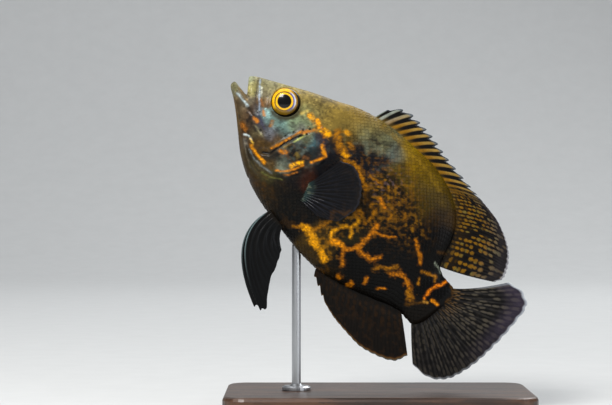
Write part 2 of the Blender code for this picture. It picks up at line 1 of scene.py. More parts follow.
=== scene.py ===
# %% [markdown]
# # An oscar fish on a display stand
# The fish hangs nose up with every fin spread, as a museum would show it, on a dark base with one steel
# rod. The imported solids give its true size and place. This script dresses them: one skin without seams, a
# coat of scales, finely ribbed fins, wet eyes, and the finish of the stand.

import math

import bpy
import numpy as np
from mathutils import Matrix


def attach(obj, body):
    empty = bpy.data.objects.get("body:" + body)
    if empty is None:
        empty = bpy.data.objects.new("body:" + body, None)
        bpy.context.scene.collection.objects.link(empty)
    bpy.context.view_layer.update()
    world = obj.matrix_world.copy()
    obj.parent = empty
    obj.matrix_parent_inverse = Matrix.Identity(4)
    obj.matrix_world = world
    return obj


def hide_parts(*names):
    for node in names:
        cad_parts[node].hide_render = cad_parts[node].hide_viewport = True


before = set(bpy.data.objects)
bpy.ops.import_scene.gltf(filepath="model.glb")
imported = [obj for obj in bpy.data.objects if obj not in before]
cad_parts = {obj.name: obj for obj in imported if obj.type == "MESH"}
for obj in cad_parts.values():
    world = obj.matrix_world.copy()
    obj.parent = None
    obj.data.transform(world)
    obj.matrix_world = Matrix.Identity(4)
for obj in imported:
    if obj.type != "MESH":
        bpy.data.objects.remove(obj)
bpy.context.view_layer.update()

# %% [markdown]
# ## The fish's own frame
# A fish is easiest to draw lying level, in millimetres: x runs from the snout to the tail, z from belly
# to back and y to its right side. `to_world` then sweeps the tail a little, pitches the fish up and sets
# it over the stand. The numbers are the ones that the solids were made from, so every piece lands where
# its solid is.

# %% The frame's sizes
PITCH = math.radians(49.8)
SIN, COS = math.sin(PITCH), math.cos(PITCH)
SWAY, SWAY_START, TOTAL_LENGTH = 5.0, 90.0, 202.0
BASE_HEIGHT, TAIL_CLEARANCE = 12.0, 9.0
LOWEST_TIP = (188.0, -30.3)
SNOUT_X = -73.3
SNOUT_Z = BASE_HEIGHT + TAIL_CLEARANCE + LOWEST_TIP[0] * SIN - LOWEST_TIP[1] * COS
MM = 0.001


def to_world(points):
    """Fish frame in mm to the scene's metres."""
    x, y, z = points[:, 0], points[:, 1], points[:, 2]
    reach = np.clip(x - SWAY_START, 0, None) / (TOTAL_LENGTH - SWAY_START)
    return MM * np.stack([
        SNOUT_X + x * COS + z * SIN,
        y - SWAY * reach**2,
        SNOUT_Z - x * SIN + z * COS,
    ], axis=1)


print("the snout stands at", np.round(to_world(np.zeros((1, 3)))[0], 3), "m")


# %% [markdown]
# ## Reading places off the photograph
# One pixel is 0.5554 mm at the fish, and the snout lies at pixel (246, 80). The markings are given in
# those pixels as strokes, like brush marks, so `in_photo` turns a place on the fish into pixels.

# %% Photo scale
MM_PER_PIXEL = 0.5554
SNOUT_PIXEL = (246.0, 80.0)
PHOTO_SIZE = (612, 405)


def in_photo(x, z):
    """Pixel column and row of a place on the fish's side."""
    return (
        SNOUT_PIXEL[0] + (x * COS + z * SIN) / MM_PER_PIXEL,
        SNOUT_PIXEL[1] + (x * SIN - z * COS) / MM_PER_PIXEL,
    )


print("the tail ends in the photo at", np.round(in_photo(TOTAL_LENGTH, 0.0)))


# %% [markdown]
# ## Camera
# The photo looks square at the fish's left side, so the camera stands off at the same height with a long
# lens, which keeps the outline true. The lens is worked out so that the picture shows as many millimetres
# as the photo does.

# %% Camera
CAMERA_DISTANCE = 1.1
SENSOR = 36.0
bpy.ops.object.camera_add(
    location=(
        MM * (SNOUT_X + (PHOTO_SIZE[0] / 2 - SNOUT_PIXEL[0]) * MM_PER_PIXEL),
        -CAMERA_DISTANCE,
        MM * (SNOUT_Z - (PHOTO_SIZE[1] / 2 - SNOUT_PIXEL[1]) * MM_PER_PIXEL),
    ),
    rotation=(math.pi / 2, 0, 0),
)
camera = bpy.context.object
camera.data.sensor_width = SENSOR
camera.data.lens = SENSOR * CAMERA_DISTANCE / (MM * PHOTO_SIZE[0] * MM_PER_PIXEL)
camera.data.clip_start = 0.05
bpy.context.scene.camera = camera
bpy.context.scene.view_settings.view_transform = "Standard"
print("lens mm:", round(camera.data.lens, 1))

# %% [markdown]
# ## Small helpers for meshes
# Every piece is made in the same way: a primitive is added, its points are moved as one array, and
# operators or modifiers close and refine it. These helpers read and write the points and keep the
# selection in order. Moving points in an array is quicker than one by one, and a formula can bend them.


# %% What is selected
def deselect():
    """Nothing stays selected, so an operator touches only what it is given."""
    if bpy.context.object and bpy.context.object.mode != "OBJECT":
        bpy.ops.object.mode_set(mode="OBJECT")
    bpy.ops.object.select_all(action="DESELECT")


def choose(*pieces):
    """Selects these objects alone, the last one active."""
    deselect()
    for piece in pieces:
        piece.select_set(True)
    bpy.context.view_layer.objects.active = pieces[-1]


# %% Points of a mesh
def read(piece):
    """The piece's points as an array."""
    flat = np.empty(len(piece.data.vertices) * 3)
    piece.data.vertices.foreach_get("co", flat)
    return flat.reshape(-1, 3)


def write(piece, points):
    """Moves the piece's points to these places."""
    piece.data.vertices.foreach_set("co", np.ascontiguousarray(points, dtype=np.float64).ravel())
    piece.data.update()


def normals(piece):
    """The outward direction at each of the piece's points."""
    flat = np.empty(len(piece.data.vertices) * 3, dtype=np.float32)
    piece.data.vertex_normals.foreach_get("vector", flat)
    return flat.reshape(-1, 3).astype(float)


def new_grid(name, columns, rows):
    """A flat sheet and each point's share across it and along it."""
    deselect()
    bpy.ops.mesh.primitive_grid_add(x_subdivisions=columns, y_subdivisions=rows, size=1)
    piece = bpy.context.object
    piece.name = name
    flat = read(piece)
    return piece, flat[:, 0] + 0.5, flat[:, 1] + 0.5


# %% Close and refine a mesh
def face_outward(piece, flip=False):
    """Turns every face outward. flip turns them over again, for a sheet whose outside is the other one."""
    choose(piece)
    bpy.ops.object.mode_set(mode="EDIT")
    bpy.ops.mesh.select_all(action="SELECT")
    bpy.ops.mesh.normals_make_consistent(inside=False)
    if flip:
        bpy.ops.mesh.flip_normals()
    bpy.ops.object.mode_set(mode="OBJECT")


def weld(piece, distance=0.001):
    """Merges doubles, closes holes and turns every face outward."""
    choose(piece)
    bpy.ops.object.mode_set(mode="EDIT")
    bpy.ops.mesh.select_all(action="SELECT")
    bpy.ops.mesh.remove_doubles(threshold=distance)
    bpy.ops.mesh.fill_holes(sides=0)
    bpy.ops.object.mode_set(mode="OBJECT")
    face_outward(piece)


def modify(piece, kind, **settings):
    """Adds a modifier and applies it."""
    choose(piece)
    step = piece.modifiers.new(kind.lower(), kind)
    for key, value in settings.items():
        setattr(step, key, value)
    bpy.ops.object.modifier_apply(modifier=step.name)


def triangles(piece):
    """How many triangles the piece has."""
    piece.data.calc_loop_triangles()
    return len(piece.data.loop_triangles)


# %% [markdown]
# ## Floor
# A photographer's paper sweep lies flat under the stand and far in front of it, then curls up behind. A
# plane and a wall would meet in a line behind the fish, so one grid is rolled up along its length
# instead.

# %% Floor
FLOOR_WIDTH, FLOOR_NEAR, FLOOR_FAR = 16.0, -8.0, 1.8  # metres; near and far are the ends of the flat part
CURL, BEYOND = 1.2, 4.4  # radius of the curl, and length of the sheet beyond the flat part
bpy.ops.mesh.primitive_grid_add(x_subdivisions=8, y_subdivisions=96, size=1)
floor = bpy.context.object
floor.name = "studio_floor"
sheet = read(floor)
flat_run = FLOOR_FAR - FLOOR_NEAR
run = (sheet[:, 1] + 0.5) * (flat_run + BEYOND)
turn = np.clip((run - flat_run) / CURL, 0, math.pi / 2)
rest = np.clip(run - flat_run - CURL * math.pi / 2, 0, None)
sheet[:, 0] *= FLOOR_WIDTH
sheet[:, 1] = FLOOR_NEAR + np.minimum(run, flat_run) + CURL * np.sin(turn)
sheet[:, 2] = CURL * (1 - np.cos(turn)) + rest
write(floor, sheet)
choose(floor)
bpy.ops.object.shade_smooth()
print("floor from", FLOOR_NEAR, "to", round(FLOOR_FAR + CURL, 2), "m")

# %% [markdown]
# ## Light
# The key stands in front, above the nose, and the weaker fill low on the other side. A large light beyond
# the fish lights its far side and rims its back. One very large light overhead evens the floor and the
# backdrop. Small lamps would draw hard shadows and sharp dots on the wet skin, so all four are broad
# areas.


# %% Lights
def area_light(name, place, aim, size, power, colour=(1, 1, 1)):
    """A square light with sides in metres and power in watts, facing the aim."""
    bpy.ops.object.light_add(type="AREA", location=place)
    lamp = bpy.context.object
    lamp.name = name
    lamp.data.energy = power
    lamp.data.size = size
    lamp.data.color = colour
    ahead = np.array(aim) - np.array(place)
    rise = math.atan2(ahead[2], math.hypot(ahead[0], ahead[1]))
    lamp.rotation_euler = (math.pi / 2 + rise, 0, math.atan2(-ahead[0], ahead[1]))


AIM = (0.0, 0.0, 0.12)
area_light("key", (-0.5, -0.85, 0.95), AIM, 0.45, 16.5, (1.0, 0.98, 0.95))
area_light("fill", (0.9, -0.8, 0.3), AIM, 0.8, 4.5, (0.95, 0.98, 1.0))
area_light("far_side", (0.9, 1.5, 1.6), AIM, 1.0, 15.0, (0.97, 0.99, 1.0))
area_light("overhead", (0.0, 0.9, 2.3), (0.0, 1.1, 0.0), 2.2, 22.0)
world = bpy.data.worlds.new("studio")
bpy.context.scene.world = world
world.use_nodes = True
background = world.node_tree.nodes["Background"]
background.inputs["Color"].default_value = (0.92, 0.95, 1.0, 1)
background.inputs["Strength"].default_value = 0.27

# %% [markdown]
# ## Shader maths as plain expressions
# A node tree is easier to read as sums. `Socket` wraps one output and adds a Math node for each operator,
# and `Nodes.add` makes any other node from its type, its settings and its inputs.


# %% One number in a shader
class Socket:
    """One number in a shader, with operators."""

    def __init__(self, nodes, link):
        self.nodes = nodes
        self.link = link

    def _math(self, operation, *values):
        return self.nodes.add("ShaderNodeMath", {"operation": operation}, values)

    def __add__(self, other):
        return self._math("ADD", self, other)

    def __sub__(self, other):
        return self._math("SUBTRACT", self, other)

    def __rsub__(self, other):
        return self._math("SUBTRACT", other, self)

    def __mul__(self, other):
        return self._math("MULTIPLY", self, other)

    __radd__ = __add__
    __rmul__ = __mul__

    def clipped(self, low, high):
        """Rises from 0 at low to 1 at high, smoothly."""
        values = {"Value": self, "From Min": low, "From Max": high}
        return self.nodes.add("ShaderNodeMapRange", {"interpolation_type": "SMOOTHSTEP"}, values)


# %% A material in short
class Nodes:
    """A material under construction."""

    def __init__(self, name):
        self.material = bpy.data.materials.new(name)
        self.material.use_nodes = True
        self.tree = self.material.node_tree
        self.shader = self.tree.nodes["Principled BSDF"]

    def add(self, kind, settings=None, values=(), output=0):
        """A node of this type. values lists its inputs, or names them, as numbers, colours or Sockets."""
        node = self.tree.nodes.new(kind)
        for key, value in (settings or {}).items():
            setattr(node, key, value)
        pairs = values.items() if isinstance(values, dict) else enumerate(values)
        for key, value in pairs:
            self.set(node.inputs[key], value)
        return Socket(self, node.outputs[output])

    def set(self, socket, value):
        """Links a Socket into an input, or sets the input to a number or a colour."""
        if isinstance(value, Socket):
            self.tree.links.new(value.link, socket)
        elif isinstance(value, (tuple, list, np.ndarray)) and socket.type == "RGBA":
            socket.default_value = (*value[:3], 1)
        else:
            socket.default_value = value

    def shade(self, **values):
        """Sets the main shader's sockets: Base_Color stands for Base Color."""
        for key, value in values.items():
            self.set(self.shader.inputs[key.replace("_", " ")], value)

    def place(self):
        """Places on the object, in metres."""
        return self.add("ShaderNodeTexCoord", output="Object")

    def painted(self):
        """The colours stored on the mesh's points."""
        return self.add("ShaderNodeAttribute", {"attribute_name": "paint"}, output="Color")

    def shaded_paint(self, shade):
        """The painted colours, made darker or lighter by a shade."""
        grey = self.add("ShaderNodeCombineColor", None, [shade, shade, shade])
        return self.mix(1.0, self.painted(), grey, "MULTIPLY")

    def noise(self, scale, detail=3.0, rough=0.5, place=None):
        """Cloudy numbers from 0 to 1."""
        values = {"Vector": place or self.place(), "Scale": scale, "Detail": detail, "Roughness": rough}
        return self.add("ShaderNodeTexNoise", None, values)

    def cells(self, scale):
        """Distance from the middle of each of many small cells."""
        return self.add("ShaderNodeTexVoronoi", None, {"Vector": self.place(), "Scale": scale})

    def mix(self, share, first, second, blend="MIX"):
        """Two colours mixed by a share. The mix node keeps its colour sockets at inputs 6 and 7, output 2."""
        node = self.tree.nodes.new("ShaderNodeMix")
        node.data_type, node.blend_type = "RGBA", blend
        for index, value in ((0, share), (6, first), (7, second)):
            self.set(node.inputs[index], value)
        return Socket(self, node.outputs[2])

    def bump(self, height, strength, distance):
        """Fine relief that only bends the light, with its depth in metres."""
        values = {"Height": height, "Strength": strength, "Distance": distance}
        return self.add("ShaderNodeBump", None, values)


def linear(red, green, blue):
    """A screen colour from 0 to 255 as light."""
    shares = np.array([red, green, blue]) / 255
    return np.where(shares <= 0.04045, shares / 12.92, ((shares + 0.055) / 1.055) ** 2.4)


# %% [markdown]
# ### The floor's finish
# Studio paper is matt and pale grey, with a faint clouding from its fibres. A single flat colour would
# do, but a little noise keeps the large surface from looking like glass.

# %% Floor finish
paper = Nodes("studio_paper")
clouding = paper.noise(40, 4, 0.6)
paper.shade(Base_Color=paper.mix(clouding, (0.64, 0.65, 0.65), (0.7, 0.71, 0.71)))
paper.shade(Roughness=0.9, Specular_IOR_Level=0.1)
floor.data.materials.append(paper.material)
print("material on the floor:", paper.material.name)

# %% [markdown]
# ## The body's shape
# A fish's body is drawn with stations along it, as a boat's hull is: the height of the back and of the
# belly and the half width. A curve that never overshoots runs through them. The section between back and
# belly is close to an ellipse. The same functions carry the skin, the scales and the fold of skin round
# the eye.

# %% Stations and sections
STATIONS = np.array([
    # x, back, belly, half width
    (-3.8, -6.2, -7.0, 0.7),
    (-3.2, -3.8, -8.5, 2.7),
    (-1.5, 0.6, -9.7, 4.7),
    (0.5, 4.0, -10.6, 5.9),
    (4.0, 6.9, -12.3, 7.4),
    (10.0, 11.0, -15.9, 9.1),
    (19.0, 17.0, -22.0, 11.5),
    (30.0, 24.3, -29.2, 13.7),
    (41.0, 30.7, -34.0, 15.4),
    (52.0, 37.6, -36.9, 16.7),
    (61.0, 41.6, -38.2, 17.3),
    (72.0, 44.8, -38.7, 17.4),
    (90.0, 47.8, -39.3, 16.5),
    (104.0, 49.2, -38.3, 14.8),
    (117.0, 47.8, -34.6, 12.3),
    (127.0, 44.4, -30.6, 10.1),
    (135.0, 39.2, -26.6, 8.4),
    (141.0, 31.5, -23.6, 7.2),
    (145.0, 23.0, -21.4, 6.4),
    (149.0, 15.4, -19.4, 5.7),
    (155.0, 13.6, -17.9, 4.7),
    (161.0, 13.6, -17.9, 3.6),
    (164.5, 11.6, -15.9, 2.3),
    (166.5, 7.0, -11.0, 0.9),
])
WIDEST = 0.47  # where the section is widest, as a share of its height
BACK_TAPER, BELLY_TAPER = 1.06, 0.9  # 1 is an ellipse; more is sharper, less is fuller
COAT = 0.25  # how far the skin lies inside the solids, under the scales
print("stations:", len(STATIONS), "from x", STATIONS[0, 0], "to", STATIONS[-1, 0], "mm")


def smooth_through(knots, values, x):
    """Monotone cubic through the knots."""
    knots, values = np.asarray(knots, float), np.asarray(values, float)
    step = np.diff(knots)
    slope = np.diff(values) / step
    tangent = np.zeros_like(values)
    tangent[0], tangent[-1] = slope[0], slope[-1]
    same = slope[:-1] * slope[1:] > 0
    w1, w2 = 2 * step[1:] + step[:-1], step[1:] + 2 * step[:-1]
    first = np.where(same, slope[:-1], 1)
    second = np.where(same, slope[1:], 1)
    tangent[1:-1] = np.where(same, (w1 + w2) / (w1 / first + w2 / second), 0)
    x = np.clip(x, knots[0], knots[-1])
    i = np.clip(np.searchsorted(knots, x, side="right") - 1, 0, len(knots) - 2)
    t = (x - knots[i]) / step[i]
    return (
        values[i] * (1 + 2 * t) * (1 - t) ** 2
        + tangent[i] * step[i] * t * (1 - t) ** 2
        + values[i + 1] * t * t * (3 - 2 * t)
        + tangent[i + 1] * step[i] * t * t * (t - 1)
    )


def ramp(x, low, high):
    """0 below low, 1 above high, smooth between."""
    t = np.clip((x - low) / (high - low), 0, 1)
    return t * t * (3 - 2 * t)


def section(x):
    """Back, belly, half width and widest height of the skin at x."""
    top, bottom, width = (smooth_through(STATIONS[:, 0], STATIONS[:, k], x) for k in (1, 2, 3))
    inset = COAT * ramp(x, 40, 60) * (1 - ramp(x, 158, 165))
    top, bottom, width = top - inset, bottom + inset, width - inset
    return top, bottom, width, bottom + WIDEST * (top - bottom)


def shell(x, turn):
    """Points of the skin. turn is 0 on the back, 90 on the right side, 180 on the belly, 270 on the left."""
    top, bottom, width, middle = section(x)
    s, c = np.sin(np.radians(turn)), np.cos(np.radians(turn))
    taper = np.where(c > 0, BACK_TAPER, BELLY_TAPER)
    height = np.where(c > 0, top - middle, middle - bottom)
    return np.stack([x, np.sign(s) * width * np.abs(s) ** taper, middle + height * c], axis=-1)


def side_of(x, z):
    """Half width of the skin at x and z."""
    top, bottom, width, middle = section(x)
    up = z > middle
    share = np.minimum(1, np.abs(z - middle) / np.where(up, top - middle, middle - bottom))
    return width * (1 - share**2) ** (np.where(up, BACK_TAPER, BELLY_TAPER) / 2)


# %% [markdown]
# ## Painting by strokes
# The tiger pattern is the oscar's mark: olive gold above, black below, an orange net over the belly and a
# ringed spot on the tail. It is painted on the mesh's points, as an airbrush would: soft spots of ground
# colour first, then strokes and dots with a frayed edge. Skin, scales and fin roots all ask the same
# function, so the marks run through. The left side follows the photo. The right side, which it doesn't
# show, has the same marks with another fray, as the two sides of a real oscar are alike but not mirrored.


# %% Fraying noise
def value_noise(x, y, seed):
    """Smooth random numbers from 0 to 1 on a plane, one a unit apart."""
    table = np.random.RandomState(seed).rand(64, 64)
    x0, y0 = np.floor(x).astype(int), np.floor(y).astype(int)
    fx, fy = x - x0, y - y0
    fx, fy = fx * fx * (3 - 2 * fx), fy * fy * (3 - 2 * fy)

    def at(i, j):
        return table[(x0 + i) % 64, (y0 + j) % 64]

    near = at(0, 0) * (1 - fx) + at(1, 0) * fx
    far = at(0, 1) * (1 - fx) + at(1, 1) * fx
    return near * (1 - fy) + far * fy


def layered_noise(x, y, size, seed, layers=3):
    """Noise of this size with finer layers on top, each half as strong."""
    total, weight = 0.0, 0.0
    for layer in range(layers):
        total = total + value_noise(x / size * 2**layer, y / size * 2**layer, seed + layer) / 2**layer
        weight += 1 / 2**layer
    return total / weight


places = np.array([1.0, 5.0, 9.0])
print("noise at three places:", np.round(layered_noise(places, 0 * places, 4, 7), 2))


# %% Distance to a stroke
def distance_to(px, py, route):
    """Distance in pixels from each point to a polyline."""
    best = np.full(px.shape, np.inf)
    for (x0, y0), (x1, y1) in zip(route, route[1:]):
        dx, dy = x1 - x0, y1 - y0
        t = np.clip(((px - x0) * dx + (py - y0) * dy) / (dx * dx + dy * dy + 1e-9), 0, 1)
        best = np.minimum(best, np.hypot(px - x0 - t * dx, py - y0 - t * dy))
    return best


# %% Ground colours of the body
# Each soft spot is its column and row in the photo, its reach in pixels and its colour on a screen.
GROUND = [
    # snout and lips
    (252, 86, 4, (186, 176, 112)), (250, 80, 3, (150, 158, 128)), (256, 82, 3, (150, 140, 92)),
    (236, 88, 4, (122, 118, 84)), (242, 96, 3, (128, 112, 84)), (246, 106, 4, (140, 128, 104)),
    (238, 106, 3, (84, 64, 36)), (240, 116, 4, (92, 78, 50)), (246, 115, 4, (118, 92, 66)),
    (253, 112, 3, (112, 80, 54)), (258, 113, 3, (124, 130, 132)), (243, 128, 4, (110, 74, 34)),
    (251, 126, 4, (98, 80, 62)), (262, 122, 3, (66, 66, 82)), (257, 133, 4, (112, 100, 68)),
    # forehead and nape
    (268, 86, 5, (150, 144, 104)), (266, 95, 4, (146, 136, 104)), (264, 104, 3, (124, 92, 52)),
    (285, 87, 6, (152, 142, 92)), (302, 94, 8, (148, 130, 72)), (322, 101, 9, (146, 126, 66)),
    (342, 109, 9, (150, 124, 52)), (360, 115, 8, (142, 116, 50)), (375, 122, 7, (134, 110, 50)),
    (316, 110, 6, (118, 106, 60)), (330, 120, 7, (128, 106, 46)), (345, 128, 7, (110, 92, 42)),
    # cheek
    (268, 117, 4, (132, 166, 160)), (274, 121, 3, (100, 122, 112)), (283, 127, 5, (98, 126, 118)),
    (295, 125, 4, (130, 148, 112)), (304, 120, 5, (112, 124, 92)), (306, 112, 4, (150, 146, 92)),
    (272, 134, 4, (100, 102, 108)), (286, 134, 4, (82, 98, 92)), (262, 128, 3, (84, 82, 84)),
    (300, 129, 3, (110, 110, 100)), (278, 142, 4, (92, 64, 22)), (265, 146, 4, (84, 62, 26)),
    (256, 143, 3, (96, 70, 34)), (270, 150, 3, (88, 66, 30)),
    # gill cover
    (300, 146, 4, (98, 106, 100)), (312, 148, 4, (84, 122, 130)), (306, 141, 3, (112, 116, 84)),
    (290, 158, 4, (104, 112, 102)), (275, 158, 4, (56, 54, 46)), (271, 165, 3, (98, 74, 32)),
    (284, 166, 4, (124, 132, 114)), (306, 156, 4, (70, 64, 54)), (318, 152, 3, (52, 44, 42)),
    (284, 148, 3, (86, 84, 62)), (322, 142, 3, (58, 50, 56)), (298, 152, 3, (84, 92, 86)),
    # throat and chest
    (241, 145, 3, (124, 116, 104)), (243, 155, 3, (92, 82, 62)), (249, 156, 3, (60, 48, 28)),
    (256, 168, 4, (78, 70, 42)), (270, 176, 4, (76, 72, 36)), (252, 178, 5, (62, 44, 16)),
    (264, 190, 6, (50, 35, 8)), (279, 183, 5, (22, 16, 8)), (268, 204, 6, (34, 24, 7)),
    # the near-black spot at (296, 178) is painted shadow below the gill cover's lower edge
    (286, 205, 8, (10, 9, 7)), (300, 215, 7, (11, 10, 8)), (296, 178, 5, (14, 10, 12)),
    (306, 180, 4, (60, 28, 14)), (335, 172, 8, (14, 14, 20)), (340, 195, 9, (9, 9, 14)),
    # shoulder
    (345, 140, 5, (92, 72, 26)), (331, 150, 5, (22, 22, 30)), (335, 140, 4, (60, 46, 28)),
    (370, 131, 8, (112, 108, 70)), (386, 140, 7, (104, 104, 74)), (397, 152, 5, (88, 98, 92)),
    (366, 158, 6, (24, 24, 30)), (381, 163, 4, (38, 36, 40)), (372, 146, 5, (78, 78, 60)),
    (355, 150, 4, (40, 38, 38)),
    # golden flank, darkening to the tail
    (406, 150, 5, (144, 114, 10)), (416, 164, 6, (120, 92, 5)), (429, 180, 7, (98, 76, 4)),
    (412, 185, 6, (90, 69, 5)), (443, 200, 7, (80, 61, 4)), (425, 202, 7, (68, 53, 5)),
    (452, 219, 5, (62, 42, 8)), (438, 216, 6, (44, 29, 6)), (398, 172, 5, (82, 66, 16)),
    (438, 235, 7, (8, 5, 5)), (430, 253, 7, (6, 5, 4)), (450, 245, 5, (7, 6, 4)),
    # speckled middle and the belly
    (386, 190, 8, (52, 40, 16)), (402, 205, 8, (42, 30, 10)), (370, 200, 7, (44, 34, 15)),
    (350, 222, 8, (50, 42, 14)), (318, 240, 6, (74, 54, 12)), (366, 225, 7, (34, 28, 12)),
    (380, 243, 6, (5, 5, 5)), (354, 262, 7, (6, 6, 5)), (401, 255, 7, (7, 7, 7)),
    (345, 290, 9, (14, 11, 6)), (386, 285, 9, (8, 7, 5)), (416, 285, 8, (6, 5, 4)),
    (431, 291, 6, (4, 4, 5)), (309, 255, 4, (62, 46, 14)), (330, 276, 6, (30, 23, 8)),
    (446, 272, 5, (14, 12, 8)), (424, 306, 6, (18, 13, 7)),
]

